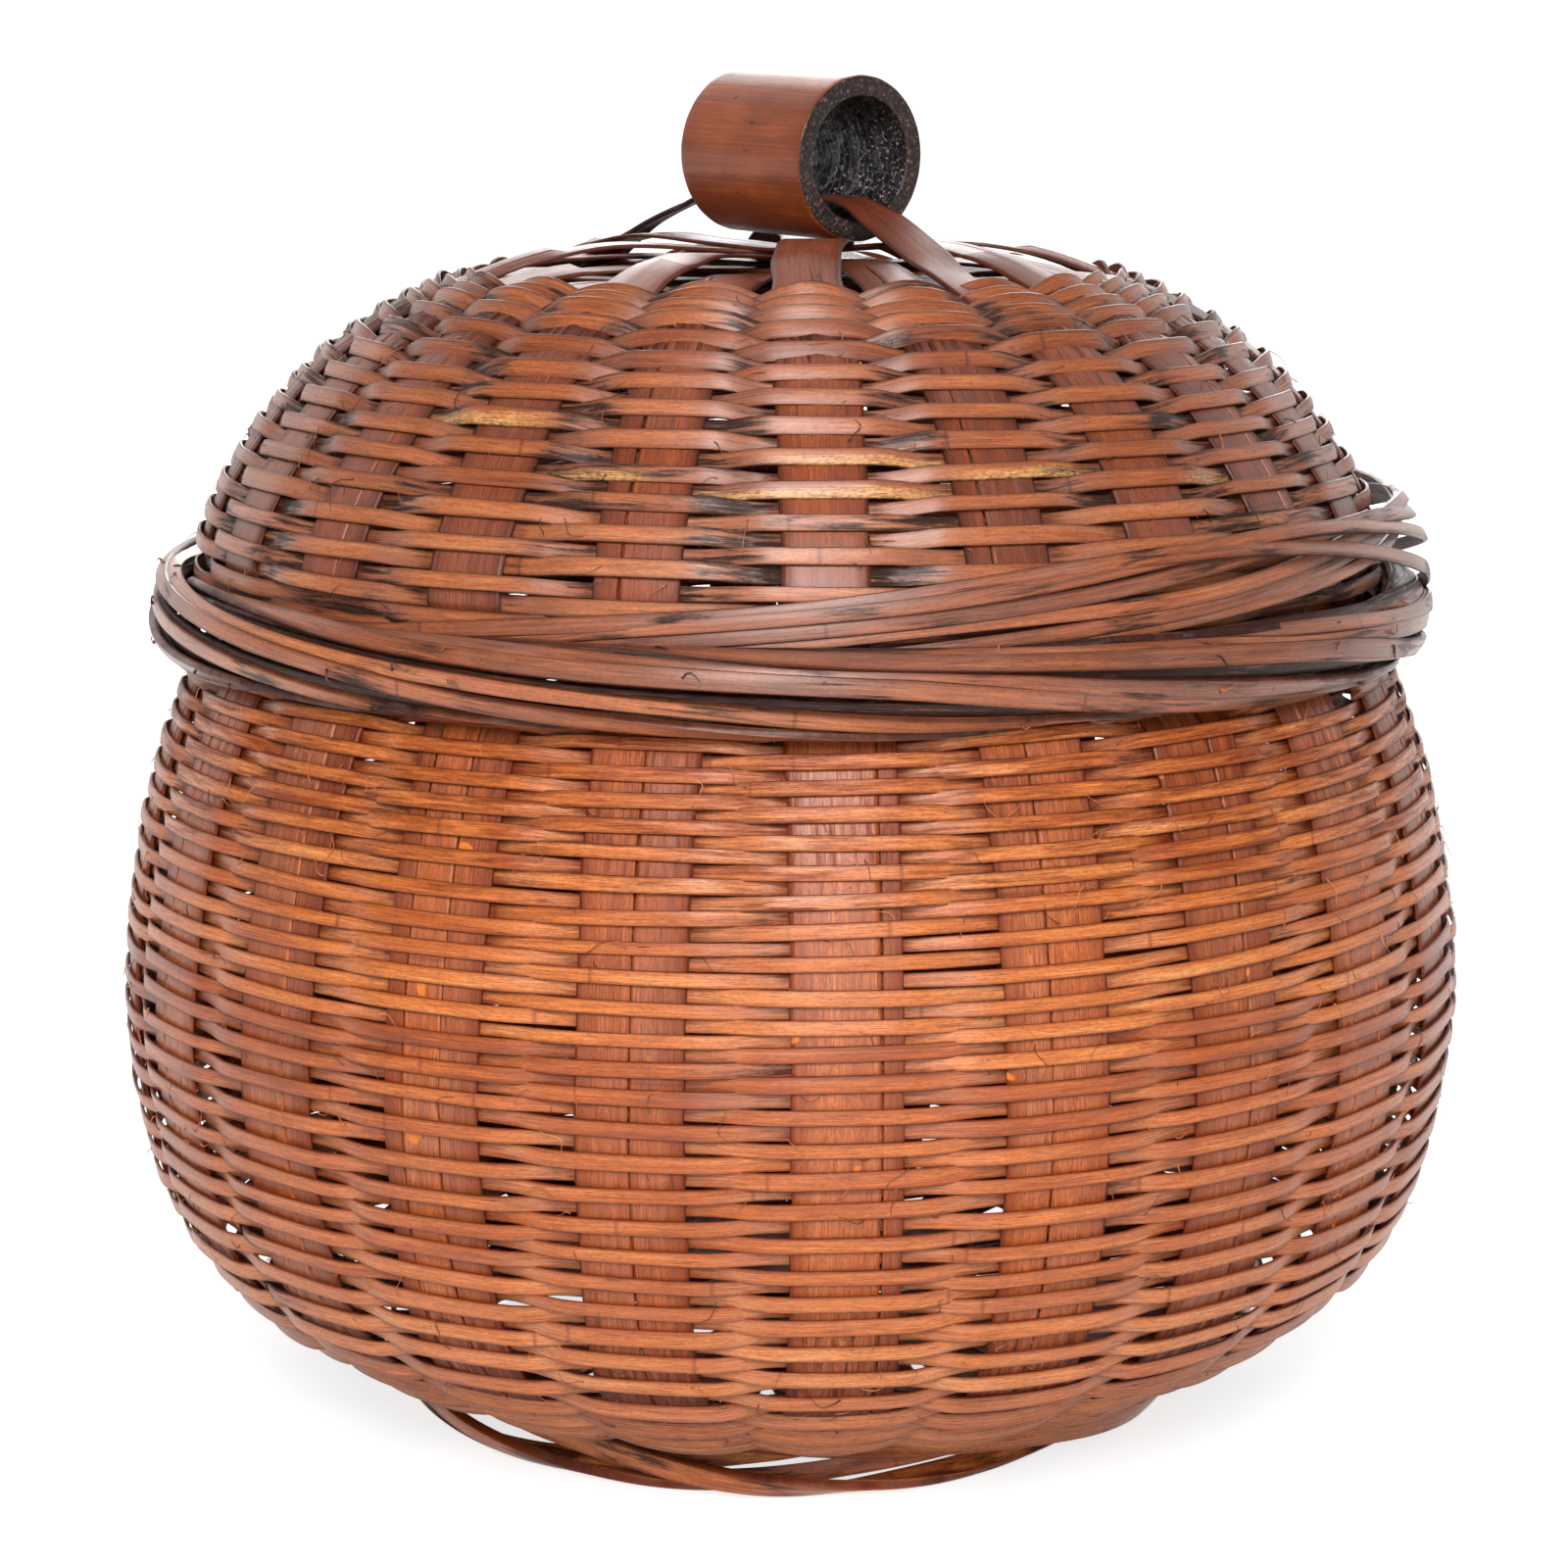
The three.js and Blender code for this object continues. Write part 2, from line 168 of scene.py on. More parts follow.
def stripMesh(name, finish, centre, side, out, low, high, thick, number, along, marks, wide,
              bend=0.0, crown=0.0, reach=None):
    # A run of flat strips, told apart by number. Each sample is a section from low to high along side and thick
    # along out, with wide points on each face. At a distance x across the strip it sinks by bend * x * x / 2
    # and rises by crown * (1 - (x / reach) ** 2), where reach is half the whole strip's width.
    samples = len(centre)
    flat = np.linspace(-0.9, 0.9, wide)
    across = np.concatenate([[-1], flat, [1, 1], flat[::-1], [-1]])
    depth = np.concatenate([[-0.5], np.full(wide, -1.0), [-0.5, 0.5], np.full(wide, 1.0), [0.5]])
    x = ((low + high) / 2)[:, None] + across[None] * ((high - low) / 2)[:, None]
    rim = x / (high if reach is None else reach)[:, None]
    thick, bend, crown = (np.broadcast_to(value, samples)[:, None] for value in (thick, bend, crown))
    lift = depth[None] * thick / 2 - x**2 / 2 * bend + crown * (1 - rim**2)
    points = centre[:, None] + side[:, None] * x[..., None] + out[:, None] * lift[..., None]
    sides = len(across)
    grid = np.arange(samples * sides).reshape(samples, sides)
    joined = np.flatnonzero(number[1:] == number[:-1])
    a, b = grid[joined], grid[joined + 1]
    quads = np.stack([a, np.roll(a, -1, 1), np.roll(b, -1, 1), b], -1)
    starts, ends = (np.flatnonzero(flags) for flags in endFlags(number))
    caps = np.concatenate([grid[starts][:, ::-1], grid[ends]])
    # the faces point outwards where side, out and the strip's course turn the right way round
    course = centre[joined + 1] - centre[joined]
    turned = np.einsum("ij,ij->i", np.cross(side[joined], out[joined]), course) > 0
    quads[turned] = quads[turned][:, :, ::-1]
    flip = np.zeros(number.max() + 1, bool)
    flip[number[joined]] = turned
    flip = flip[np.concatenate([number[starts], number[ends]])]
    caps[flip] = caps[flip][:, ::-1]
    # every strip reads its grain from a place of its own
    dice = chance(len(name) + samples)
    shift = dice.uniform(0, 900, number.max() + 1)[number]
    measures = np.stack([np.repeat(along, sides), x.ravel(), np.repeat(shift, sides)], 1)
    facets = {"strip": measures, "rim": rim.ravel()}
    for key, values in {"shade": np.zeros(samples), "bare": np.zeros(samples), **marks}.items():
        facets[key] = np.repeat(values, sides)
    piece = makeObject(name, points.reshape(-1, 3), quads.reshape(-1, 4), facets, finish, caps)
    crease(piece, sides, [1, wide, wide + 3, 2 * wide + 2])
    return piece


def finishPiece(piece, body, nodes):
    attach(piece, body)
    if nodes:
        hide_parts(*nodes)
    print(piece.name, len(piece.data.polygons), "faces")


def named(start):
    return sorted(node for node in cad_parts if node.startswith(start))


# Finishes

def linear(red, green, blue):
    # from a colour as a screen shows it to the light that it stands for
    c = np.array([red, green, blue]) / 255
    c = np.where(c <= 0.04045, c / 12.92, ((c + 0.055) / 1.055) ** 2.4)
    return (*c.tolist(), 1.0)


class Recipe:
    # a small helper that adds nodes to a material or a world and joins them

    def __init__(self, owner):
        owner.use_nodes = True
        self.owner, self.tree = owner, owner.node_tree

    def fill(self, node, inputs):
        # inputs are either other nodes' outputs or constants
        for key, value in inputs:
            if isinstance(value, bpy.types.NodeSocket):
                self.tree.links.new(value, node.inputs[key])
            else:
                node.inputs[key].default_value = value

    def node(self, kind, *values, work=None, **inputs):
        # a new node: values go to its inputs in order, and the others by name
        made = self.tree.nodes.new("ShaderNode" + kind)
        if work:
            made.operation = work
        self.fill(made, [*enumerate(values), *inputs.items()])
        return made

    def paint(self, inputs):
        self.fill(self.tree.nodes["Principled BSDF"], inputs.items())

    def maths(self, work, *values):
        return self.node("Math", *values, work=work).outputs[0]

    def times(self, a, b):
        return self.maths("MULTIPLY", a, b)

    def timesPlus(self, a, b, c):
        return self.maths("MULTIPLY_ADD", a, b, c)

    def sway(self, base, noise, by):
        # base + by * (noise - 0.5)
        return self.timesPlus(self.maths("SUBTRACT", noise, 0.5), by, base)

    def mark(self, key, output="Fac"):
        # a value that the mesh carries
        made = self.node("Attribute")
        made.attribute_name = key
        return made.outputs[output]

    def noise(self, vector, scale, detail=3.0, rough=0.55, warp=0.0, shift=(0, 0, 0)):
        place = self.node("Mapping", Vector=vector, Scale=scale, Location=shift).outputs[0]
        made = self.node("TexNoise", Vector=place, Scale=1.0, Detail=detail, Roughness=rough, Distortion=warp)
        return made.outputs["Fac"]

    def figure(self, *settings, **more):
        # noise in a strip's own measures: along it, across it and from strip to strip
        return self.noise(self.mark("strip", "Vector"), *settings, **more)

    def ranged(self, value, a, b, low=0.0, high=1.0):
        # a to b becomes low to high, and stays at them beyond
        return self.node("MapRange", value, a, b, low, high).outputs[0]

    def ramp(self, value, stops):
        made = self.node("ValToRGB", value)
        marks = made.color_ramp.elements
        for k, (spot, *colour) in enumerate(stops):
            mark = marks[k] if k < 2 else marks.new(spot)
            mark.position, mark.color = spot, linear(*colour)
        return made.outputs[0]

    def mix(self, share, a, b, way="MIX"):
        made = self.node("Mix")
        made.data_type, made.blend_type = "RGBA", way
        colour = linear(*b) if isinstance(b, tuple) else b
        sockets = {s.name: k for k, s in enumerate(made.inputs) if s.enabled}
        self.fill(made, [(sockets["Factor"], share), (sockets["A"], a), (sockets["B"], colour)])
        return [s for s in made.outputs if s.enabled][0]

    def bump(self, height, distance, strength):
        return self.node("Bump", Height=height, Strength=strength, Distance=distance).outputs[0]


def splitBamboo(name, look):
    # Lacquered split bamboo. The grain runs along the strip; matte scuffs with painted sheen, painted shade,
    # scorch and bare gold follow the marks that the mesh carries, and knots are thin dark lines across the
    # strip.
    r = Recipe(bpy.data.materials.new(name))
    grain = r.figure((0.035, 2.6, 1), 4, 0.6)
    fine = r.figure((0.22, 9, 3), 3, 0.65)
    cloud = r.figure((0.045, 0.35, 7), 3, 0.55, 0.4)
    tone = r.figure((0, 0, 11.3), 0, shift=(3.1, 5.7, 0))
    speck = r.figure((1.4, 3.6, 5), 2, 0.7)
    flame = r.figure((0.09, 1.1, 9), 4, 0.68, 0.5)
    dash = r.figure((0.4, 7, 13), 2, 0.6)
    # the sound strip, and the darker streaks along it
    level = r.timesPlus(cloud, 0.62, r.timesPlus(tone, 0.52, r.times(grain, 0.42)))
    colour = r.ramp(r.ranged(level, 0.44, 1.12), look["colours"])
    streak = r.ranged(r.timesPlus(speck, 0.5, fine), 0.58, 0.86)
    # matte scuffs where the strip bends, tinted paler as a painted sheen
    scuffAndSheenMask = r.times(r.mark("dullAndSheen"), r.ranged(r.timesPlus(flame, 1.3, fine), 0.95, 1.4))
    # darker rims, partly the strip's own edges and partly painted shade where rows meet, and painted shade where
    # the strip runs behind another
    away = r.maths("ABSOLUTE", r.mark("rim"))
    rim = r.times(r.ranged(away, 0.55, 1), r.ranged(r.maths("ADD", cloud, fine), 0.75, 1.15))
    shade = r.mark("shade")
    paintedShade = r.times(r.ranged(r.sway(shade, flame, 2.4), 0.3, 1), r.ranged(shade, 0, 0.3))
    # scorch
    char = r.mark("char")
    burnt = r.sway(r.sway(r.sway(char, flame, 2.6), cloud, 0.8), speck, 0.5)
    burnt = r.times(r.ranged(burnt, 0.35, 0.8), r.ranged(char, 0.02, 0.2))
    # bare gold, ragged towards the rims
    edge = r.ranged(r.timesPlus(flame, 2, r.times(r.mark("rim"), -1)), 1.4, 0.8)
    bare = r.times(r.times(r.mark("bare"), edge), r.ranged(r.maths("ADD", speck, fine), 0.8, 1.2, 0, 0.9))
    # knots, an even distance apart along the strip
    along, _, shift = r.node("SeparateXYZ", r.mark("strip", "Vector")).outputs
    aside = r.maths("SUBTRACT", r.maths("FRACT", r.timesPlus(along, 1 / look["knotEvery"], shift)), 0.5)
    knot = r.ranged(r.maths("ABSOLUTE", aside), 0, 0.45 / look["knotEvery"], 1, 0)
    # the layers of colour, each as its mask, its strength and its tint
    for mask, strength, tint in (
        (r.maths("SUBTRACT", 1, streak), look["streaks"], "deep"),
        (scuffAndSheenMask, look["scuffAndSheenShare"], "scuffAndSheen"),
        (rim, look["rims"], "deep"),
        # the very edges darker: partly the strip's cut sides, partly painted shade where rows meet
        (r.ranged(away, 0.9, 1), 0.7, "deep"),
        # painted shade where the strip runs behind another, laid on by multiplying
        (paintedShade, look["paintedShadeShare"], "paintedShade"),
        (r.ranged(dash, 0.62, 0.7), look["dashes"], "scorchAndShade"),
        # scorch; on the body its deep red-brown at the weavers' bends stands for painted shade
        (burnt, 1, "scorchAndShade"),
        # grey ash on the scorch, partly a painted sheen
        (r.times(burnt, r.ranged(fine, 0.52, 0.66)), 0.3, "ashAndSheen"),
        (bare, 1, "gold"),
        (r.ranged(r.figure((0.3, 0.2, 2), 0), 0.825, 0.845), look["drops"], "amber"),
        (knot, 0.6, "deep"),
    ):
        way = "MULTIPLY" if tint == "paintedShade" else "MIX"
        colour = r.mix(r.times(mask, strength), colour, look[tint], way)
    rough = r.timesPlus(streak, -0.1, look["roughness"] + 0.1)
    rough = r.timesPlus(burnt, 0.1, r.timesPlus(scuffAndSheenMask, 0.12, rough))
    # the coat lies on the open faces and thins on the rims, where shade is painted and where scorch lies, so
    # that painted shade shows no reflection
    shadeAndScorch = r.timesPlus(paintedShade, 1.2, r.timesPlus(burnt, 0.6, rim))
    lacquer = r.ranged(shadeAndScorch, 0, 1, look["coat"], 0)
    height = r.timesPlus(fine, 0.5, r.times(grain, 0.6))
    height = r.timesPlus(r.times(r.maths("ADD", burnt, scuffAndSheenMask), speck), 0.9, height)
    height = r.timesPlus(knot, 0.5, height)
    r.paint({"Base Color": colour, "Roughness": rough, "Specular IOR Level": 0.2, "Coat Weight": lacquer,
             "Coat Roughness": 0.34, "Normal": r.bump(height, look["relief"] * mm, 0.7)})
    return r.owner


bodyStrip = dict(
    # the sound strip from deep to bright, as [level, red, green, blue], and the colours laid over it
    colours=[(0, 112, 46, 16), (0.28, 184, 92, 37), (0.6, 225, 130, 63), (1, 242, 172, 108)],
    deep=(108, 40, 17), paintedShade=(138, 84, 66), scuffAndSheen=(208, 148, 116), scorchAndShade=(84, 34, 17),
    ashAndSheen=(150, 104, 84), gold=(226, 172, 108), amber=(238, 128, 34),
    # how strongly they are laid, and the finish
    streaks=0.7, scuffAndSheenShare=0.6, rims=1.0, paintedShadeShare=0.85, dashes=0.45, drops=0.0, knotEvery=190,
    roughness=0.4, coat=0.6, relief=0.14,
)
bodyStakeLook = dict(
    bodyStrip,
    colours=[(0, 110, 46, 17), (0.32, 160, 76, 29), (0.66, 198, 101, 43), (1, 222, 132, 70)],
    streaks=0.8, scuffAndSheenShare=0.36, rims=0.75, dashes=0.75, drops=0.8, knotEvery=150, roughness=0.46, relief=0.2,
)
lidStrip = dict(
    bodyStrip,
    colours=[(0, 80, 33, 17), (0.28, 150, 77, 42), (0.6, 194, 111, 64), (1, 220, 146, 100)],
    deep=(72, 31, 19), paintedShade=(116, 84, 78), scuffAndSheen=(140, 98, 84), scorchAndShade=(50, 26, 19), ashAndSheen=(128, 104, 98),
    streaks=0.6, scuffAndSheenShare=0.8, rims=0.95, dashes=0.5, roughness=0.37, coat=0.62, relief=0.16,
)
lidStakeLook = dict(
    lidStrip,
    colours=[(0, 72, 28, 13), (0.35, 128, 56, 24), (0.7, 166, 78, 34), (1, 192, 102, 54)],
    streaks=0.7, scuffAndSheenShare=0.5, rims=0.85, dashes=0.8, roughness=0.42, coat=0.6, relief=0.2,
)
borderLook = dict(
    lidStrip,
    colours=[(0, 70, 38, 28), (0.3, 134, 76, 50), (0.6, 188, 106, 64), (1, 224, 138, 84)],
    scuffAndSheen=(160, 118, 102), scuffAndSheenShare=0.62, rims=0.9, knotEvery=230, roughness=0.35, coat=0.8, relief=0.2,
)
bodyWeaverFinish = splitBamboo("orange_bamboo_weaver", bodyStrip)
bodyStakeFinish = splitBamboo("orange_bamboo_stake", bodyStakeLook)
lidWeaverFinish = splitBamboo("brown_bamboo_weaver", lidStrip)
lidStakeFinish = splitBamboo("brown_bamboo_stake", lidStakeLook)
borderFinish = splitBamboo("dark_bamboo_border", borderLook)
print("finishes made")


# Stakes, on walls given as outlines of [radius, height] along the middle of the stakes

bodyWall = dict(
    outline=[(57, 11.1), (66, 12.0), (76, 16.5), (88, 25.9), (95, 38.6), (98.6, 60), (97.4, 79), (94, 96),
             (89.3, 109), (87.4, 112.8), (82.6, 116.2), (81.2, 119.2), (81.2, 125.8)],
    # the crossing strips below, out to reach, as [radius, height, share of the layer's place]
    reach=50.0, crossing=[(0, 11.1, 0.9), (15, 11.1, 0.9), (37.5, 11.1, 0.32), (50, 11.1, 0)],
    outward=1, turn=4.2, body="basket", seed=11,
    thickness=0.6, stakeWidth=14.5, stakeSpace=4.2, leastWidth=10.44,
    # near its start the wall's stakes carry painted shade, laid as scorch and in a band
    archFoot=0.75, archTop=0.05, archRun=26.0, shadeAsChar=0.4, scorch=0.0, shadeBand=1.5, shadeBandRun=60.0,
    # where each strip is split, in shares of half its width
    slits=[(0.62,), (-0.12,), (0.3,), (-0.45, 0.38), (0.52,), (0.1,), (-0.6,), (0.38,), (-0.3,), (0.6, -0.2),
           (0.0,)],
)
lidWall = dict(
    outline=[(51.4, 165.8), (59.8, 162.2), (69, 156.2), (77, 147.8), (83, 139), (86.4, 130.6), (85.2, 126.6),
             (84.6, 123), (84.6, 115.9)],
    reach=48.8, crossing=[(0, 169.4, 0.6), (12, 169.8, 0.66), (26, 170.2, 0.74), (38, 169.2, 0.42),
                          (48.8, 166.6, 0)],
    outward=-1, turn=3.0, body="lid", seed=23,
    thickness=0.56, stakeWidth=11.5, stakeSpace=2.6, leastWidth=9.6,
    # near its start the wall's stakes carry painted shade, laid as scorch and in a band
    archFoot=1.1, archTop=0.05, archRun=18.0, shadeAsChar=0.15, scorch=0.06, shadeBand=0.9, shadeBandRun=20.0,
    slits=[(), (-0.4,), (), (0.5,), (), (), (0.25, -0.6), (), (-0.3,), (), (0.4,)],
)


def layerOf(strip):
    # neighbours cross the middle four layers apart
    return (4 * strip) % stripCount - (stripCount - 1) / 2


def stakeWidth(wall, radius):
    # the arc between two stakes less the space beside them, within limits
    return np.clip(radius * stakeAngle - wall["stakeSpace"], wall["leastWidth"], wall["stakeWidth"])


def crownAt(wall, travel):
    # how much a stake's face is crowned: less up the wall, as exp(-(travel / archRun) ** 2)
    fade = bell(np.maximum(travel, 0) / wall["archRun"])
    return wall["archTop"] + (wall["archFoot"] - wall["archTop"]) * fade


def wallTravel(wall, radius, height):
    # the distance up the wall from the weave's start to the point of the outline nearest to each place
    along, even, _ = smoothLine(wall["outline"], 1.0)
    gap = (radius[:, None] - even[None, :, 0]) ** 2 + (height[:, None] - even[None, :, 1]) ** 2
    return along[np.argmin(gap, 1)]


def splitEdge(wall, cut, width, along, strip, k, second):
    # One edge of a split, at cut times half the strip's width. An outer edge waves by about 0.14 mm, and an edge
    # at a slit keeps about 0.09 mm off it, at least 0.04 mm.
    if abs(cut) == 1:
        seed = wall["seed"] * 9 + strip * 3 + k + 50 * second
        return cut * width / 2 + 0.14 * ripple(along / 30, seed, 0.3, 3.0)
    gap = 0.09 + 0.07 * ripple(along / 40, wall["seed"] * 7 + strip * 5 + k + second, 0.3, 2.0)
    return cut * width / 2 + (-1 if second else 1) * np.maximum(gap, 0.04)


def stakes(wall, name, finish, slot):
    # Each strip runs up one side of the wall, over the middle in its own layer, and down the other side, in one
    # to three splits that lie side by side.
    spacing, strayMost, reach = 2.3, 4.5, wall["reach"]
    parts = []
    for strip in range(stripCount):
        lift = wall["outward"] * layerOf(strip)
        half = [(r, z + share * lift) for r, z, share in wall["crossing"]] + wall["outline"]
        along, even, course = smoothLine([(-r, z) for r, z in half[:0:-1]] + half, spacing)
        radius, height = even.T
        flat = np.abs(radius)
        angle = math.radians(wall["turn"] - 90) + strip * stakeAngle
        spin = np.array([math.cos(angle), math.sin(angle), 0.0])
        side = np.tile([-math.sin(angle), math.cos(angle), 0.0], (len(along), 1))
        outward = wall["outward"] * np.stack([course[:, 1], -course[:, 0]], 1)
        # in the middle the strips don't all meet in one point
        dice = chance(wall["seed"] * 100 + strip)
        stray = dice.uniform(-1, 1) * strayMost * (1 - ease((flat - 8) / 34))
        centre = inPlane(spin, radius, height) + side * stray[:, None]
        out = inPlane(spin, outward[:, 0], outward[:, 1])
        width = stakeWidth(wall, flat)
        # on the wall the strip follows the ring's curve, and is crowned by the distance up it
        bend = np.where(flat > 30, np.abs(outward[:, 0]) / np.maximum(flat, 30), 0)
        travel = np.where(flat > reach - 14, wallTravel(wall, flat, height), 60)
        crown = crownAt(wall, travel)
        cuts = sorted([-1.0, 1.0, *wall["slits"][strip]])
        for k in range(len(cuts) - 1):
            low, high = (splitEdge(wall, cuts[k + e], width, along, strip, k, e) for e in (0, 1))
            parts.append((centre, side, out, low, high, along, bend, crown, width / 2, height, flat, travel))
    number = np.repeat(np.arange(len(parts)), [len(part[0]) for part in parts])
    columns = (np.concatenate(column) for column in zip(*parts))
    centre, side, out, low, high, along, bend, crown, half, height, flat, travel = columns
    noise = ripple(along / 50 + number * 3.7, wall["seed"] + 5, 0.4, 3.0)
    # painted shade, laid as scorch, near where the wall starts: at the body's foot and on the lid's crown
    shadeNearStart = bell((height - wall["outline"][0][1]) / 26) * (flat > 56)
    # painted shade in a band up the wall from where it starts
    shadeBand = ease((wall["shadeBandRun"] - travel) / wall["shadeBandRun"] * 1.4) * (flat > reach)
    char = np.where(flat < reach, 0.12 + 0.25 * np.clip(noise, 0, 1), wall["scorch"])
    # the shade mark holds that band and, high on the body's wall, a painted shadow under the lid's border
    marks = {"dullAndSheen": np.clip(0.45 + 0.5 * noise, 0, 1), "char": char + wall["shadeAsChar"] * shadeNearStart,
             "shade": wall["shadeBand"] * shadeBand + 0.45 * ease((travel - 88) / 30)}
    piece = stripMesh(name, finish, centre, side, out, low, high, wall["thickness"], number, along, marks, 3,
                      bend, crown, half)
    finishPiece(piece, wall["body"], named(slot + "_strip_"))


stakes(bodyWall, "body_stakes", bodyStakeFinish, "body_stake")
stakes(lidWall, "lid_stakes", lidStakeFinish, "lid_stake")


# Weavers

bodyWeave = dict(
    rows=60, samples=11, seed=300, thickness=0.42, crown=0.1, outline=bodyWall["outline"],
    # [row, distance up the wall], and strip widths as rows and millimetres
    courses=[(0, 0.4), (2.2, 8.0), (4.5, 15.5), (10.5, 34.5), (16, 47.5), (21.2, 58.6), (33.2, 83.6),
             (44, 104.5), (55.2, 125.4), (60, 134.0)],
    widths=([0, 6, 14, 22, 60], [2.5, 2.56, 2.5, 2.2, 1.97]),
    swing=0.84, swingFoot=1.35, swellRows=9.0, hold=1.6, upright=0.95, tilt=4.0, uneven=0.08, wander=0.22,
    # the matte-scuff shares below also lay a painted sheen, and the shade shares lay painted shade
    ownWander=0.05, bendFrom=0.3, dullBends=0.65, dullAll=0.0, dullFoot=0.8, char=0.22, charAndShadeBends=0.6,
    charEnds=0.7, shade=0.62, shadeFrom=0.62, shadeBand=0.6, shadeBandRows=36,
    gold=[], lengths=7, hairs=1300, hairZone=(0.05, 0.9), hairSeed=61,
)
lidWeave = dict(
    bodyWeave, rows=30, samples=14, seed=500, thickness=0.46, crown=0.13,
    outline=[(45.4, 167.3), (51.4, 165.8), (59.8, 162.2), (69, 156.2), (77, 147.8), (83, 139), (86.4, 131),
             (86.9, 124.5)],
    courses=[(0, 0.5), (4, 6.5), (8, 12.8), (10, 17.3), (14, 26.8), (20, 41.2), (26, 55.5), (30, 64.5)],
    widths=([0, 3, 6, 9, 13, 30], [2.1, 2.5, 2.75, 2.62, 2.4, 2.35]),
    swing=0.8, swingFoot=1.75, swellRows=9.5, upright=0.7, tilt=5.0, uneven=0.1, ownWander=0.08,
    bendFrom=0.16, dullBends=1.0, dullAll=0.16, dullFoot=0.0, char=0.6, charAndShadeBends=0.9, charEnds=0.8,
    shade=0.75, shadeFrom=0.56, shadeBand=0.0,
    # bare golden stretches, as [turn, row, half length in degrees]
    gold=[(3, 20.4, 13), (-22, 19.6, 7), (10, 18.6, 9), (-34, 16.4, 7), (24, 19.4, 7), (48, 20.4, 6),
          (160, 12.0, 8)],
    lengths=3, hairs=500, hairZone=(0.02, 0.98), hairSeed=67,
)


def wallAt(look, travel):
    # radius and height at distances up the woven wall, and its course there, outwards and up
    along, even, course = smoothLine(look["outline"], 0.5)
    return [np.interp(travel, along, values) for values in (*even.T, *course.T)]


def distanceTo(flags, steps):
    # distance along a weaver to the nearest flagged sample
    spots = steps[flags]
    k = np.clip(np.searchsorted(spots, steps), 1, len(spots) - 1)
    return np.minimum(np.abs(steps - spots[k - 1]), np.abs(steps - spots[k]))


def bareGold(look, angle, row):
    # short stretches where the lacquer is worn off
    mark = np.zeros(len(angle))
    for turn, level, half in look["gold"]:
        away = (np.degrees(angle) + 90 - turn + 180) % 360 - 180
        mark = np.maximum(mark, ease(1.6 - np.abs(away) / half) * (np.abs(row - level) < 0.5))
    return mark


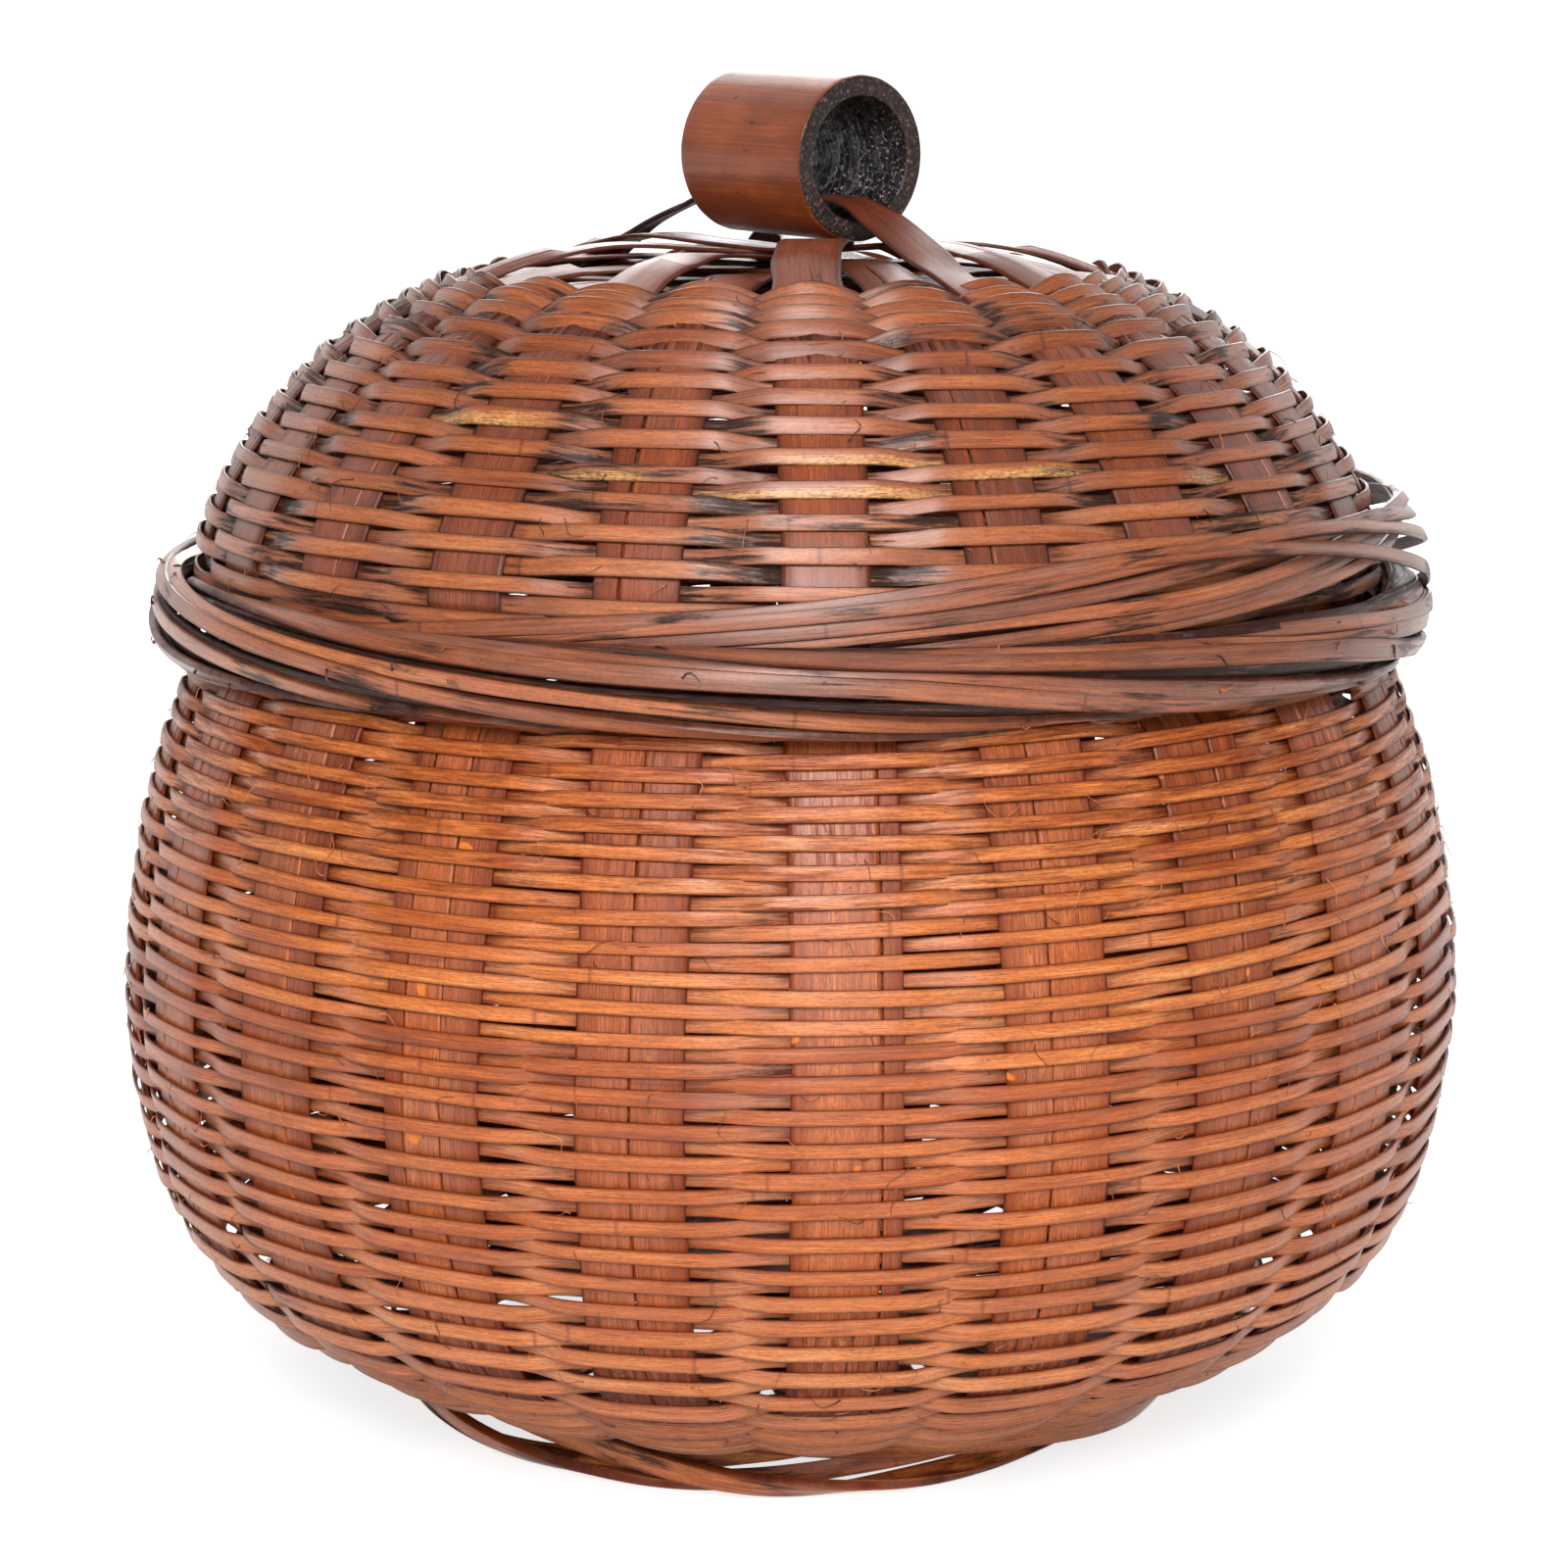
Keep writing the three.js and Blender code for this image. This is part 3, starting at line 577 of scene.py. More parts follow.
def weaver(wall, look, start):
    # One of two weavers that chase each other up the wall: the row number grows by 2 in a turn, and the strip
    # swings from outside to behind as cos(pi * step), held flat over the stakes.
    def wobble(x, seed, low, high, count=9):
        return ripple(x, look["seed"] + seed + start, low, high, count)

    rows, sign = look["rows"], wall["outward"]
    steps = np.arange(0, (rows - 1) * stripCount * look["samples"] + 1) / look["samples"] - stripCount * start
    dice = chance(look["seed"] + start)
    # lengths of strip end behind a stake, or now and then in the open between two
    ends, at = [], steps[0]
    while at < steps[-1]:
        at = at + 2 * dice.integers(14, 27)
        ends.append(at + 1 + dice.choice([0, 0, 0, 0, 0, 0, 0.5]))
    number = np.searchsorted(ends, steps)
    angle = math.radians(wall["turn"] - 90) + steps * stakeAngle
    row = 2 * steps / stakeCount + 0.5 + start
    near = bell(row / look["swellRows"])
    # rows wander together, less so at the first and the last, and each a little on its own
    pull = look["wander"] * drift(angle, row, look["seed"] + 40) * np.clip(np.minimum(row, rows - row) / 4, 0, 1)
    own = look["ownWander"] * (1 + 1.2 * near) * wobble(steps / 9, 60, 0.2, 1.4)
    _, courses, _ = smoothLine(look["courses"], 0.5)
    travel = np.interp(np.clip(row + pull + own, 0.1, rows - 0.1), courses[:, 0], courses[:, 1])
    radius, height, tr, tz = wallAt(look, travel)
    # strips stay more upright than the wall, and tilt
    lean = look["upright"] * np.abs(tr)
    ur, uz = tr * (1 - lean), tz * (1 - lean) + sign * lean
    norm = np.hypot(ur, uz)
    ur, uz = ur / norm, uz / norm
    tilt = np.radians(look["tilt"] * wobble(steps / 3 + 17, 80, 0.2, 1.5))
    ur, uz = ur * np.cos(tilt) - uz * np.sin(tilt), uz * np.cos(tilt) + ur * np.sin(tilt)
    spin = spoke(angle)
    # the swing through the wall is wider and rounder near the start
    swing = look["swing"] + (look["swingFoot"] - look["swing"]) * near
    plain = np.cos(math.pi * (steps - start))
    held = np.sin(math.pi / 2 * np.clip(look["hold"] * plain, -1, 1))
    wave = held + (plain - held) * near
    loose = np.maximum(1 + 0.25 * wobble(steps / 5, 90, 0.2, 1.2), 0.86)
    offset = wave * swing * np.where(wave > 0, loose, 1)
    centre = ringPoint(radius, height, angle) + sign * inPlane(spin, tz, -tr) * offset[:, None]
    width = np.interp(row, *look["widths"]) * (1 + look["uneven"] * wobble(steps / 14, 100, 0.2, 2.0))
    width = width * (1 + 0.14 * (dice.random(number.max() + 1) - 0.5))[number]
    # matte scuffs with painted sheen where it bends between two stakes, scorch in patches and at ends,
    # and scorch at the bends that on the body is painted shade
    away = np.abs((steps - start + 1) % 2 - 1)
    between = ease((away - look["bendFrom"]) / 0.36)
    patch = wobble(steps / 2, 120, 0.15, 0.9, 12)
    dullAndSheen = between * (look["dullBends"] + 0.6 * patch) + look["dullAll"] + look["dullFoot"] * bell(row / 20)
    char = look["char"] * np.clip(between * look["charAndShadeBends"] + patch * 0.9 - 0.35, 0, 1)
    nearEnd = np.minimum(*(distanceTo(flags, steps) for flags in endFlags(number)))
    # painted shade where the strip runs behind a stake, stronger near the first rows
    shade = (look["shade"] + 0.4 * near) * ease((away - look["shadeFrom"] + 0.1 * near) / 0.16)
    marks = {
        "dullAndSheen": np.clip(dullAndSheen, 0, 1),
        "char": np.clip(char + look["charEnds"] * np.exp(-nearEnd / 0.3), 0, 1),
        # and over the body's upper rows, a painted shadow of the lid's border
        "shade": shade + look["shadeBand"] * ease((row - look["shadeBandRows"]) / 14),
        "bare": bareGold(look, angle, row),
    }
    return centre, inPlane(spin, ur, uz), sign * inPlane(spin, uz, -ur), width, number, marks


def weave(wall, look, name, finish, slot):
    for start in (0, 1):
        centre, side, out, width, number, marks = weaver(wall, look, start)
        piece = stripMesh(f"{name}_{start + 1}", finish, centre, side, out, -width / 2, width / 2,
                          look["thickness"], number, runOf(centre), marks, 3, crown=look["crown"])
        first = 1 + look["lengths"] * start
        finishPiece(piece, wall["body"], [f"{slot}_{k}" for k in range(first, first + look["lengths"])])


weave(bodyWall, bodyWeave, "body_weave", bodyWeaverFinish, "body_weaver")
weave(lidWall, lidWeave, "lid_weave", lidWeaverFinish, "lid_weaver")
print("walls woven")


# Strips laid round a ring: the lid's border and the basket's foot

border = dict(
    starts=[-58, -36, -18, -4, 12, 32, 52, 74, 96, 118, 140, 163, -174, -150, -126, -103, -80],
    span=150.0, face=(128, -118), centre=(90.4, 120.6), half=(3.4, 5.6), width=2.5,
    thickness=1.1, shadeAsChar=0.0, under=0.45, seed=700,
)
borderCore = dict(
    border, starts=[-170, -125, -80, -35, 10, 55, 100, 145], span=200.0, half=(1.9, 4.2), width=3.4,
    # the core shows only through the bundle's gaps, and its scorch all along is painted shade
    thickness=0.9, shadeAsChar=0.8, seed=740,
)
foot = dict(
    border, starts=[-150, -105, -60, -15, 30, 75, 120, 165], span=190.0, face=(150, -190),
    centre=(56.4, 5.45), half=(2.5, 3.8), width=3.2, thickness=1.5, under=0.5, seed=800,
)
crossing = dict(
    starts=[-66, -52, -38, -25, -11, 3, 56, 72, 88, 103], width=2.2, thickness=0.8, length=290,
    # [degrees from the start, radius, height], and the face as degrees from the start and degrees
    rise=[(0, 87.4, 121.5), (26, 88.6, 125.0), (60, 89.1, 130.0), (95, 89.3, 135.6), (118, 91.0, 134.2),
          (140, 93.6, 129.2), (160, 93.8, 122.4), (176, 90.8, 116.6), (186, 88.6, 115.6)],
    facing=([0, 60, 95, 118, 140, 160, 176, 186], [12, 8, 20, 52, 22, -12, -50, -70]), seed=900,
)


def ringStrips(name, plan, finish, body, nodes):
    # Each strip of the plan is [turn, radius, height, face, width, thickness, char]; the face is an angle in the
    # upright plane, 0 outwards and 90 up, and the strip's side is square to its course and face.
    columns = []
    for turn, *rest in plan:
        radius, height, face, width, thickness, char = (value + 0 * turn for value in rest)
        angle = np.radians(turn - 90)
        centre = ringPoint(radius, height, angle)
        course = unit(np.gradient(centre, axis=0))
        facing = inPlane(spoke(angle), np.cos(face), np.sin(face))
        side = unit(np.cross(facing, course))
        out = np.cross(course, side)
        out *= np.sign(np.einsum("ij,ij->i", out, facing))[:, None]
        columns.append((centre, side, out, width, thickness, char, runOf(centre)))
    number = np.repeat(np.arange(len(plan)), [len(turn) for turn, *_ in plan])
    centre, side, out, width, thick, char, run = (np.concatenate(column) for column in zip(*columns))
    patch = ripple(run / 30 + number * 5.1, len(name) + 7, 0.2, 1.2, 10)
    marks = {"dullAndSheen": np.clip(0.12 + 0.6 * patch, 0, 1), "char": np.clip(char, 0, 1)}
    piece = stripMesh(name, finish, centre, side, out, -width / 2, width / 2, thick, number, run, marks, 4,
                      crown=0.06 * width)
    finishPiece(piece, body, nodes)


def endChar(run, burnt, seed):
    # scorch at both ends, as exp(-distance / burnt), and in patches along the strip
    patch = ripple(run / 26, seed, 0.2, 1.4, 10)
    ends = np.exp(-run / burnt) + 0.8 * np.exp(-(run[-1] - run) / burnt)
    return ends + 0.45 * np.clip(patch - 0.1, 0, 1) + 0.05


def woundStrips(look, lift=None):
    # Strips that wind round a bundle: the place in its oval section turns evenly from one angle to another
    # while the strip goes round the ring. Both ends taper and tuck in, and the underside carries painted shade.
    plan = []
    (ring, middle), (wide, tall), (fromTurn, toTurn) = look["centre"], look["half"], look["face"]
    for k, start in enumerate(look["starts"]):
        seed = look["seed"] + k
        dice = chance(seed)
        reach = look["span"] * dice.uniform(0.9, 1.12)
        t = np.linspace(0, 1, int(reach * math.radians(1) * ring / 1.7))
        turn = start + reach * t
        uneven = 0.03 * np.sin(2 * math.pi * (t * dice.uniform(1, 2) + dice.random()))
        face = np.radians(fromTurn + (toTurn - fromTurn) * (t + uneven))
        deep = dice.uniform(-0.4, 0.55) + 0.25 * ripple(t * 3, seed + 20, 0.3, 1.5)
        deep = deep - 1.3 * np.exp(-t / 0.05) - 0.8 * np.exp(-(1 - t) / 0.05)
        radius = ring + (wide + deep) * np.cos(face)
        height = middle + (tall * (lift(turn, face) if lift else 1) + deep) * np.sin(face)
        facing = np.arctan2(np.sin(face) / tall, np.cos(face) / wide)
        broad = look["width"] * dice.uniform(0.86, 1.14) * (1 + 0.07 * ripple(t * 4, seed + 40, 0.3, 1.5))
        broad = broad * (0.45 + 0.55 * ease(t / 0.04)) * (0.6 + 0.4 * ease((1 - t) / 0.04))
        run = t * math.radians(reach) * ring
        under = ease(-np.sin(face) + 0.1) * (0.55 + 0.45 * ripple(run / 40, seed + 80, 0.3, 1.5))
        # scorch at the ends and in patches, with painted shade on the underside and all along a core seen only
        # through gaps
        char = endChar(run, 5.0, seed + 60) + look["shadeAsChar"] + look["under"] * under
        plan.append((turn, radius, height, facing, broad, look["thickness"], char))
    return plan


def crossingStrips(look):
    # strips that come up from under the bundle, climb the lid's edge and pass outwards over the bundle
    plan = []
    perDegree = 1.5  # the arc of one degree at the border
    _, even, _ = smoothLine([(turn * perDegree, r, z) for turn, r, z in look["rise"]], 1.6)
    away = even[:, 0] / perDegree
    t = np.linspace(0, 1, len(away))
    for k, start in enumerate(look["starts"]):
        seed = look["seed"] + k
        dice = chance(seed)
        turn = start + away
        radius = even[:, 1] + 0.3 * ripple(t * 3, seed + 20, 0.3, 1.2) + dice.uniform(-0.2, 0.3)
        height = even[:, 2] + 0.8 * ripple(t * 2.4, seed + 40, 0.3, 1.2) + dice.uniform(-0.7, 0.7)
        facing = np.radians(np.interp(turn - start, *look["facing"]))
        broad = look["width"] * dice.uniform(0.85, 1.12) * (1 + 0.08 * ripple(t * 4, seed + 60, 0.3, 1.5))
        broad = broad * (0.5 + 0.5 * ease(t / 0.03))
        char = endChar(t * look["length"], 6.0, seed + 80)
        plan.append((turn, radius, height, facing, broad, look["thickness"], char))
    return plan


def borderLift(turn, face):
    # the bundle stands tallest at the left and flattens where the crossing strips lie on it
    away = (turn + 90 + 180) % 360 - 180
    return np.where(np.sin(face) > 0, 0.62 + 0.5 * bell(away / 52), 1.0)


bundle = woundStrips(border, borderLift)
ringStrips("border_bundle", bundle, borderFinish, "lid", named("lid_border_strand_"))
ringStrips("border_core", woundStrips(borderCore), borderFinish, "lid", [])
ringStrips("border_crossing", crossingStrips(crossing), borderFinish, "lid", [])
ringStrips("foot_ring", woundStrips(foot), bodyWeaverFinish, "basket", named("foot_strand_"))
print("border and foot wound")


# Mouth hoops: two flat rings that hold the ends of the stakes

hoop = dict(radii=(("outer", 82.75, 1), ("inner", 79.65, -1)), middle=122.7, height=6.2, thickness=1.1,
            start=130, lap=24.0)
for side, radius, sign in hoop["radii"]:
    # each is lapped on itself: along the lap both ends thin out, each towards its own side
    turn = np.linspace(hoop["start"], hoop["start"] + 360 + hoop["lap"], 340)
    fromStart, toEnd = turn - turn[0], turn[-1] - turn
    slim = hoop["thickness"] * (0.25 + 0.75 * ease(np.minimum(fromStart, toEnd) / hoop["lap"]))
    ride = sign * (hoop["thickness"] - slim) / 2 * np.where(fromStart < toEnd, -1, 1)
    level = hoop["middle"] + 0.25 * ripple(turn / 60, 31 + sign, 0.1, 0.5)
    plan = [(turn, radius + ride, level, 0.0 if sign > 0 else math.pi, hoop["height"], slim, 0.12)]
    ringStrips(f"mouth_hoop_cane_{side}", plan, bodyStakeFinish, "basket",
               named(f"mouth_hoop_{side}"))


# Knob: a slice of bamboo stem, dark inside

stem = dict(
    radius=11.8, hole=8.3, half=13.5, round=0.5, flare=0.55,
    height=185.6, forward=2.3, tilt=2.0, axis=(0.6427876, -0.7660444, 0.0),
    colours=[(0, 108, 46, 18), (0.45, 138, 64, 26), (0.8, 164, 82, 36), (1, 188, 104, 54)],
    deep=(84, 42, 26), speck=(52, 28, 24),
    ends=[(0, 14, 8, 7), (0.5, 38, 21, 16), (0.85, 88, 52, 40), (1, 124, 96, 86)],
    bore=[(0, 8, 6, 6), (0.5, 26, 20, 20), (0.8, 70, 60, 58), (1, 160, 150, 146)],
)


def stemFinish(look):
    # smooth lacquered skin with fine lines along the stem; grainy burnt ends; a rough black bore
    r = Recipe(bpy.data.materials.new("bamboo_stem_knob"))
    lines = r.figure((0.06, 3.2, 1), 4, 0.62)
    cloud = r.figure((0.09, 0.16, 1), 3, 0.6, 0.3, (4, 2, 0))
    pits = r.figure((0.5, 0.75, 1), 2, 0.5, 0, (9, 1, 0))
    grain = r.noise(r.node("TexCoord").outputs["Object"], (1900, 1900, 1900), 2, 0.7)
    bore = r.mark("bore")
    cut = r.ranged(r.sway(r.mark("endGrain"), grain, 0.5), 0.4, 0.6)
    skin = r.ramp(r.ranged(r.timesPlus(cloud, 0.7, r.times(lines, 0.3)), 0.3, 0.74), look["colours"])
    skin = r.mix(r.ranged(lines, 0.6, 0.46, 0, 0.28), skin, look["deep"])
    skin = r.mix(r.times(r.ranged(pits, 0.7, 0.75), 0.8), skin, look["speck"])
    colour = r.mix(cut, skin, r.ramp(r.ranged(grain, 0.42, 0.66), look["ends"]))
    colour = r.mix(r.ranged(bore, 0.4, 0.6), colour, r.ramp(r.ranged(grain, 0.46, 0.66), look["bore"]))
    rough = r.timesPlus(bore, 0.08, r.timesPlus(cut, 0.3, r.ranged(cloud, 0.3, 0.7, 0.42, 0.34)))
    height = r.timesPlus(lines, 0.15, r.times(r.maths("MAXIMUM", cut, bore), grain))
    r.paint({"Base Color": colour, "Roughness": rough, "Specular IOR Level": 0.3, "Coat Weight": 0.5,
             "Coat Roughness": 0.3, "Normal": r.bump(height, 0.5 * mm, 0.9)})
    return r.owner


def knob():
    # A closed profile of [along, radius] carried once round the stem's axis. The skin is a little out of round,
    # the cut ends are uneven, and the bore has ridges that die out near its mouths.
    length, outer, bore, soft, flare = (stem[key] for key in ("half", "radius", "hole", "round", "flare"))
    quarter = np.radians(np.linspace(0, 90, 5))[1:]
    skin = np.stack([np.linspace(-length + soft, length - soft, 26), np.full(26, outer)], 1)
    rim = np.stack([length - soft + soft * np.sin(quarter), outer - soft + soft * np.cos(quarter)], 1)
    face = np.stack([np.full(9, length), np.linspace(outer - soft, bore + flare + 0.25, 10)[1:]], 1)
    inside = np.stack([np.linspace(length - 0.3, -length + 0.3, 64), np.full(64, bore)], 1)
    inside[:, 1] += flare * bell((length - np.abs(inside[:, 0])) / 2.4)
    rimShare, mirror = np.array([0.2, 0.5, 0.8, 1.0]), [-1, 1]
    stretches = [(skin, 0.0), (rim, rimShare), (face, 1.0), (inside, 0.0), (face[::-1] * mirror, 1.0),
                 (rim[::-1] * mirror, rimShare[::-1])]
    profile = np.concatenate([points for points, _ in stretches])
    isEnd = np.concatenate([np.full(len(points), share) for points, share in stretches])[:, None]
    isBore = np.concatenate([np.full(len(points), float(points is inside)) for points, _ in stretches])[:, None]
    angle = np.linspace(0, 2 * math.pi, 176, endpoint=False)[None]
    s, r = profile[:, :1] + 0 * angle, profile[:, 1:] + 0 * angle
    # half of the ridges are broad, and half are finer and lower
    dice = chance(5)
    ridges = np.zeros_like(s)
    for k in range(60):
        turns = dice.integers(0, 7) if k < 30 else dice.integers(8, 34)
        rate, phase = dice.uniform(0.25, 0.7), dice.uniform(0, 6.3)
        ridges += np.sin(turns * angle + 2 * math.pi * rate * s + phase) / (1 + turns / 6)
    ridges /= np.abs(ridges).max()
    r = r - isBore * (0.85 * np.abs(ridges) - 0.45) * ease((length - np.abs(s)) / 3)
    r = r + (1 - isBore) * (1 - isEnd) * (0.1 * np.cos(2 * angle + 0.6) + 0.02 * np.cos(21 * angle))
    s = s + np.sign(s) * isEnd * (isEnd > 0.9) * 0.16 * ridges
    level, tip = np.array(stem["axis"]), math.radians(stem["tilt"])
    axis = level * math.cos(tip) - vertical * math.sin(tip)
    across = np.cross(level, vertical)
    up = np.cross(across, axis)
    points = s[..., None] * axis + (r * np.cos(angle))[..., None] * up + (r * np.sin(angle))[..., None] * across
    points = points + stem["forward"] * level + stem["height"] * vertical
    grid = np.arange(s.size).reshape(s.shape)
    ahead = np.roll(grid, -1, 0)
    quads = np.stack([grid, ahead, np.roll(ahead, -1, 1), np.roll(grid, -1, 1)], -1).reshape(-1, 4)
    facets = {"strip": np.stack([s, r * (angle - math.pi), 0.2 * r], -1).reshape(-1, 3),
              "endGrain": (isEnd + 0 * s).ravel(), "bore": (isBore + 0 * s).ravel()}
    piece = makeObject("knob_stem", points.reshape(-1, 3), quads, facets, stemFinish(stem))
    finishPiece(piece, "knob", named("knob_tube"))


# Strap: a flat strip through the knob's bore

cane = dict(
    # [place along the knob's axis, height]
    line=[(-55, 162.6), (-50, 165.2), (-45.5, 168.2), (-39, 172.0), (-30, 175.9), (-20, 178.8), (-11, 179.6),
          (0, 179.5), (9, 179.5), (13, 179.25), (16, 178.6), (21, 176.8), (30, 173.9), (37, 171.6),
          (42, 169.8), (47, 167.9), (53, 165.2)],
    width=6.9, thickness=0.75, bend=0.03, aside=-7.0, roll=-14,
)


def strap():
    # down to the crown at both ends and under the first rows of weave, rolled a little outside the bore
    run, even, course = smoothLine(cane["line"], 1.2)
    place, height = even.T
    far = np.abs(place)
    axis = np.array(stem["axis"])
    sideways = np.cross(vertical, axis)
    stray = 0.5 * ripple(run / 60, 77, 0.3, 0.9) * ease((far - 14) / 10)
    stray = stray + cane["aside"] * ease((place - 14) / 34)
    centre = inPlane(axis, place, height) + stray[:, None] * sideways
    roll = np.radians(cane["roll"] * ease((far - 16) / 7) * (1 - ease((far - 34) / 9)))[:, None]
    out, side = inPlane(axis, -course[:, 1], course[:, 0]), np.tile(sideways, (len(run), 1))
    out, side = out * np.cos(roll) + side * np.sin(roll), side * np.cos(roll) - out * np.sin(roll)
    half = (cane["width"] + 0.3 * ripple(run / 40, 78, 0.3, 1.0)) / 2
    burnt = 1.1 * ease((-place - 10) / 8) + 0.4 * bell((far - 13) / 3)
    marks = {"dullAndSheen": np.clip(0.2 + 0.4 * ripple(run / 20, 79, 0.3, 1.5), 0, 1), "char": np.clip(burnt, 0, 1)}
    piece = stripMesh("knob_strap_strip", lidStakeFinish, centre, side, out, -half, half, cane["thickness"],
                      np.zeros(len(run), int), run, marks, 5, cane["bend"])
    finishPiece(piece, "lid", named("knob_strap"))


knob()
strap()
print("knob and strap made")


# Loose fibres: hairs that stand off the weave, and brushes at the cut ends of the border's strips

def fibres(name, finish, base, along, lift, length, height, thick, body, seed):
    # Each fibre bends over as sin(pi * t) times its height while it runs along its course, and wanders sideways.
    # It has no flat faces, and thins out towards its tip.
    dice = chance(seed)
    count, samples = len(base), 8
    share = np.linspace(0, 1, samples)
    t = share[None, :, None]
    aside = np.cross(along, lift)
    curl, phase = dice.uniform(-0.28, 0.28, (count, 1, 1)), dice.uniform(0, 6.3, (count, 1, 1))
    reach = length[:, None, None]
    spread = reach * curl * (np.sin(5.2 * t + phase) - np.sin(phase))
    bow = height[:, None, None] * np.sin(math.pi * (0.08 + 0.84 * t))
    points = base[:, None] + along[:, None] * reach * t + lift[:, None] * bow + aside[:, None] * spread
    course = unit(np.gradient(points, axis=1))
    side = unit(np.cross(lift[:, None] + 0 * course, course))
    out = np.cross(course, side)
    points, side, out = (vectors.reshape(-1, 3) for vectors in (points, side, out))
    half = (thick[:, None] * (1 - 0.7 * share) / 2).ravel()
    number = np.repeat(np.arange(count), samples)
    marks = {"dullAndSheen": np.full(len(number), 0.3), "char": np.repeat(dice.choice([0.0, 0.5, 1.0], count), samples)}
    piece = stripMesh(name, finish, points, side, out, -half, half, 4 * half, number,
                      (length[:, None] * share).ravel(), marks, 0, reach=np.array([np.inf]))
    finishPiece(piece, body, [])


def wallHairs(wall, look, name, finish):
    # hairs start just outside the weave at chance places between two shares of the wall's height
    dice, count = chance(look["hairSeed"]), look["hairs"]
    along, _, _ = smoothLine(look["outline"], 0.5)
    travel = along[-1] * dice.uniform(*look["hairZone"], count)
    angle = dice.uniform(0, 2 * math.pi, count)
    radius, height, tr, tz = wallAt(look, travel)
    spin = spoke(angle)
    out = unit(wall["outward"] * inPlane(spin, tz, -tr))
    turn = dice.uniform(0, 2 * math.pi, count)
    around = np.stack([-np.sin(angle), np.cos(angle), 0 * angle], 1)
    heading = np.cos(turn)[:, None] * around + 0.8 * np.sin(turn)[:, None] * inPlane(spin, tr, tz)
    base = ringPoint(radius, height, angle) + out * dice.uniform(0.55, 0.95, count)[:, None]
    length = dice.uniform(0.9, 2.4, count) ** 2
    fibres(name, finish, base, unit(heading), out, length, dice.uniform(0.06, 0.2, count) * length,
           dice.uniform(0.07, 0.16, count), wall["body"], look["hairSeed"] + 1)


def brushes():
    # six short fibres fan out from each strip's burnt start, and seven hairs rise along it
    base, along, lift = [], [], []
    dice = chance(77)
    for turn, radius, height, face, *_ in bundle:
        angle = np.radians(turn - 90)
        points = ringPoint(radius, height, angle)
        out = inPlane(spoke(angle), np.cos(face), np.sin(face))
        course = unit(points[0] - points[3])
        for _ in range(6):
            base.append(points[1] + dice.uniform(-0.5, 0.5, 3))
            along.append(unit(course + dice.uniform(-0.5, 0.5, 3)))
            lift.append(out[0])
        for k in dice.integers(4, len(turn) - 4, 7):
            base.append(points[k] + 0.5 * out[k])
            along.append(unit(points[k + 1] - points[k - 1] + dice.uniform(-1.5, 1.5, 3)))
            lift.append(out[k])
    count = len(base)
    fibres("border_brushes", borderFinish, np.array(base), np.array(along), np.array(lift),
           dice.uniform(1.5, 4.0, count), dice.uniform(0.2, 0.8, count), dice.uniform(0.2, 0.42, count),
           "lid", 79)


wallHairs(bodyWall, bodyWeave, "body_hairs", bodyWeaverFinish)
wallHairs(lidWall, lidWeave, "lid_hairs", lidWeaverFinish)
brushes()
print("fibres laid")


# Stage, light and camera

def openShare(r, vector, *reflected):
    # 1 for what the camera sees directly or through the object; reflections see a share that depends on how far
    # back they look
    ray = r.node("LightPath").outputs
    clear = r.maths("MAXIMUM", ray["Is Camera Ray"], ray["Is Transmission Ray"])
    back = r.node("SeparateXYZ", vector).outputs[1]
    return r.maths("MAXIMUM", clear, r.times(ray["Is Glossy Ray"], r.ranged(back, *reflected)))


def stage():
    # one swept sheet: floor, a quarter round and a wall; it glows less near the basket, which leaves a shadow
    bow = np.radians(np.linspace(0, 90, 12))
    back = np.concatenate([[-1500], 1500 + 500 * np.sin(bow), [2000]])
    rise = np.concatenate([[0], 500 - 500 * np.cos(bow), [3200]])
    across = np.linspace(-3500, 3500, 3)
    points = np.stack(np.broadcast_arrays(across[None], back[:, None], rise[:, None]), -1).reshape(-1, 3)
    grid = np.arange(len(points)).reshape(len(back), len(across))
    quads = np.stack([grid[:-1, :-1], grid[:-1, 1:], grid[1:, 1:], grid[1:, :-1]], -1).reshape(-1, 4)
    r = Recipe(bpy.data.materials.new("pale_stage"))
    r.paint({"Base Color": linear(205, 205, 205), "Roughness": 0.9})
    spot = r.node("TexCoord").outputs["Object"]
    away = r.node("VectorMath", spot, work="LENGTH").outputs["Value"]
    strength = r.times(openShare(r, spot, -0.75, -0.3, 0.1, 0.9), r.ranged(away, 0.1, 0.27, 0.75, 1.0))
    glow = r.node("Emission", Strength=strength)
    both = r.node("AddShader", r.tree.nodes["Principled BSDF"].outputs[0], glow.outputs[0])
    r.fill(r.tree.nodes["Material Output"], [("Surface", both.outputs[0])])
    makeObject("pale_stage", points, quads, {}, r.owner)


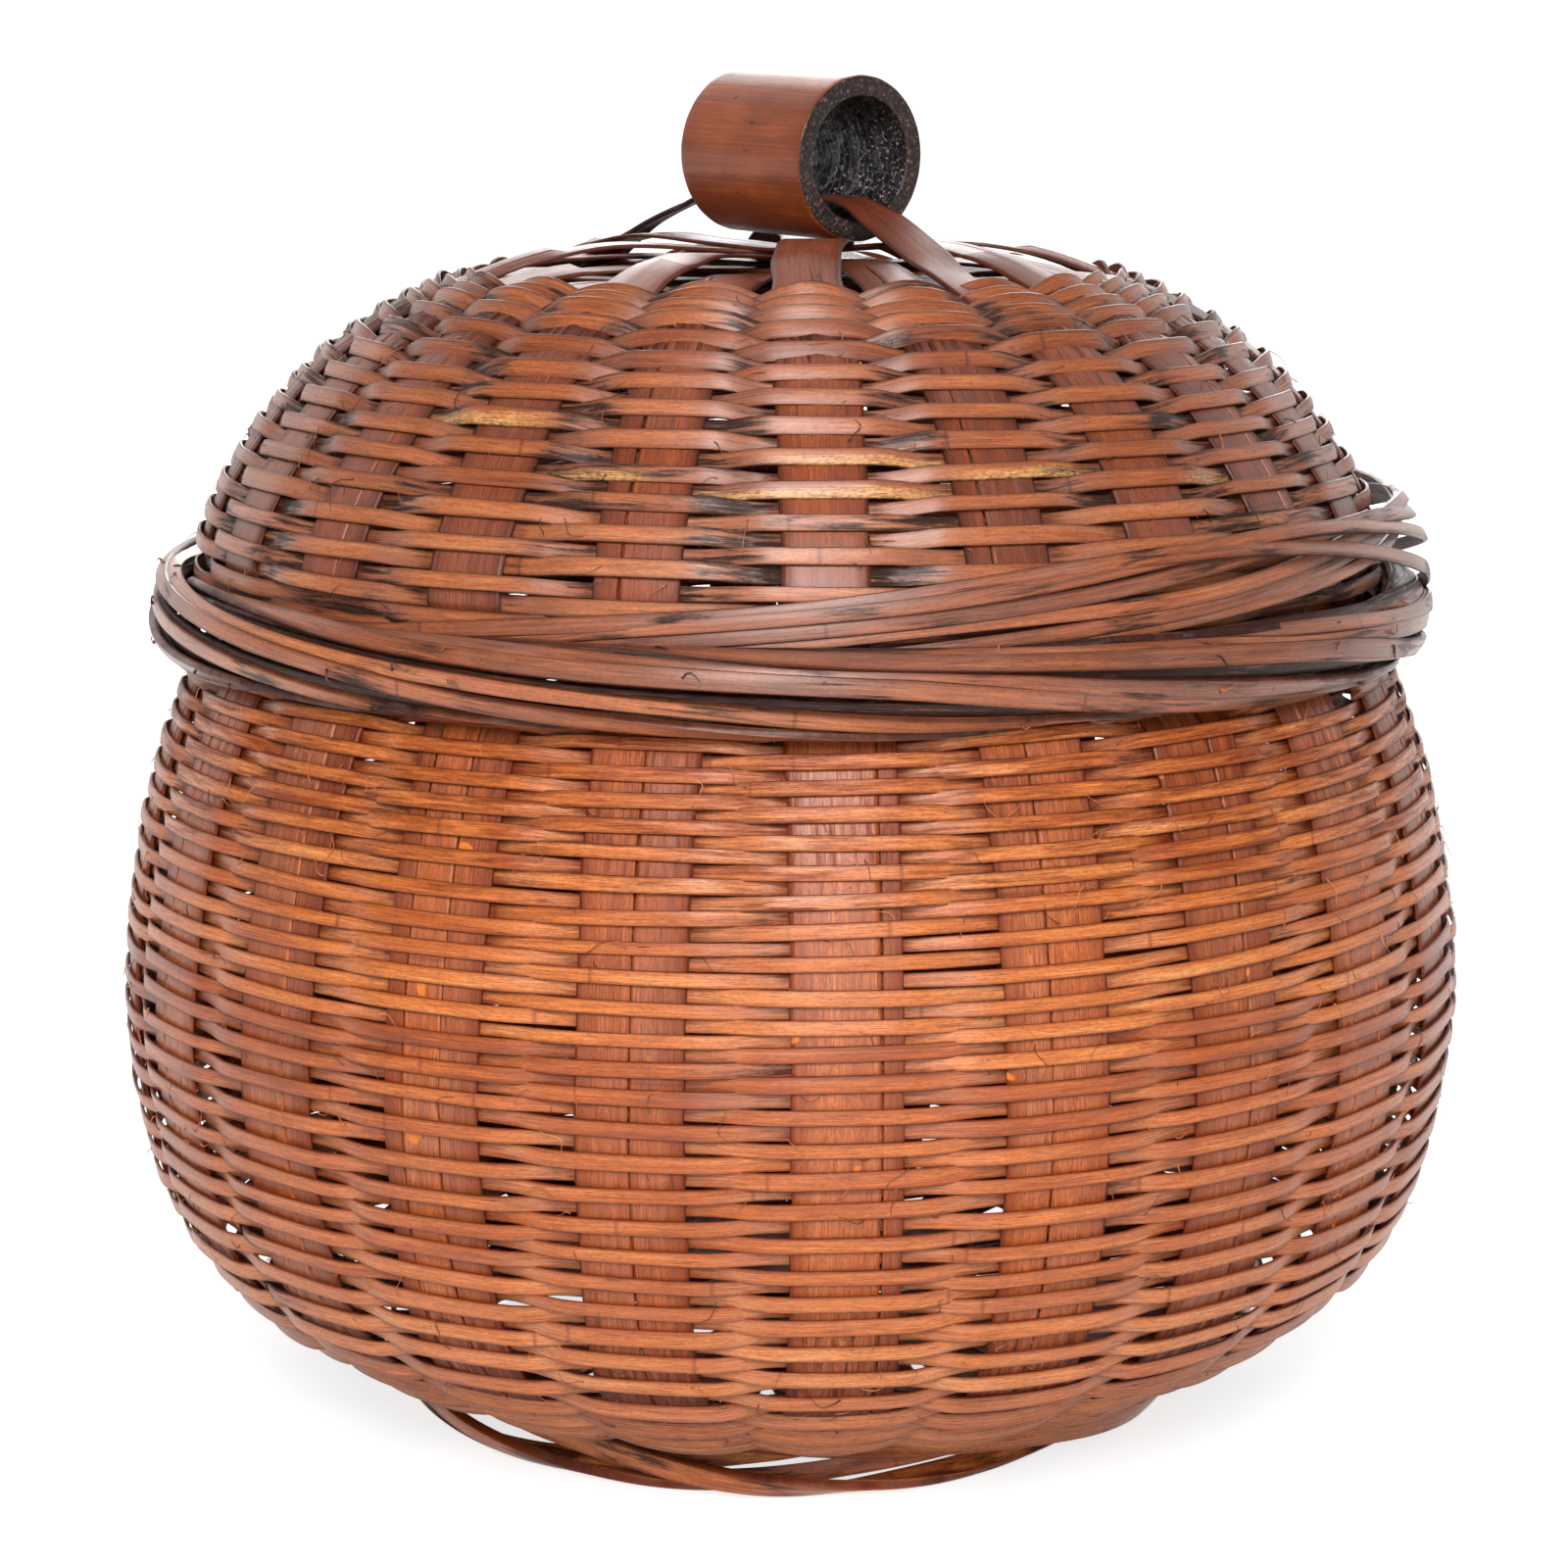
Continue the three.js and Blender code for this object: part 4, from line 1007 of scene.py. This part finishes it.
def room(dim, walls):
    # a white world for the camera and dim for the light; reflections find it at the sides and behind
    r = Recipe(bpy.data.worlds.new("studio"))
    bpy.context.scene.world = r.owner
    seen = openShare(r, r.node("TexCoord").outputs["Generated"], -0.85, -0.35, 0.0, walls)
    strength = r.ranged(seen, 0.0, 1.0, dim, 1.0)
    r.fill(r.tree.nodes["Background"], [("Color", (1, 1, 1, 1)), ("Strength", strength)])


def softbox(name, place, aim, size, power):
    # a square lamp at a place in metres, turned towards a height on the basket's axis
    lamp = bpy.data.lights.new(name, "AREA")
    lamp.shape, lamp.size, lamp.energy = "SQUARE", size, power
    holder = bpy.data.objects.new(name, lamp)
    holder.location = place
    x, y, z = -place[0], -place[1], aim - place[2]
    yaw, pitch = math.atan2(y, x) - math.pi / 2, math.atan2(-z, math.hypot(x, y))
    holder.rotation_euler = (math.pi / 2 - pitch, 0, yaw)
    bpy.context.scene.collection.objects.link(holder)


stage()
room(0.02, 0.15)
for name, *setting in (
    ("key", (-0.03, -1.2, 0.8), 0.09, 0.55, 19.8),
    ("low", (0.05, -1.3, 0.12), 0.05, 0.5, 4.6),
    ("left", (-0.95, -1.05, 0.3), 0.09, 0.6, 0.9),
    ("right", (0.95, -1.05, 0.3), 0.09, 0.6, 0.9),
    ("left_rim", (-1.15, 0.6, 0.42), 0.12, 0.9, 1.2),
    ("right_rim", (1.15, 0.6, 0.42), 0.12, 0.9, 1.2),
    ("top", (0.1, 0.1, 1.2), 0.1, 0.7, 1.6),
    ("back", (0.1, 1.3, 0.6), 0.1, 0.8, 7.0),
):
    softbox(name + "_light", *setting)

lens = bpy.data.cameras.new("camera")
lens.lens, lens.sensor_width = 91.04, 36.0
lens.clip_start, lens.clip_end = 0.05, 20
eye = bpy.data.objects.new("camera", lens)
eye.location = (-0.0009, -0.588, 0.1986)
eye.rotation_euler = (math.radians(90 - 10.3), 0, 0)
bpy.context.scene.collection.objects.link(eye)
bpy.context.scene.camera = eye
bpy.context.scene.view_settings.view_transform = "Standard"
print("stage set")
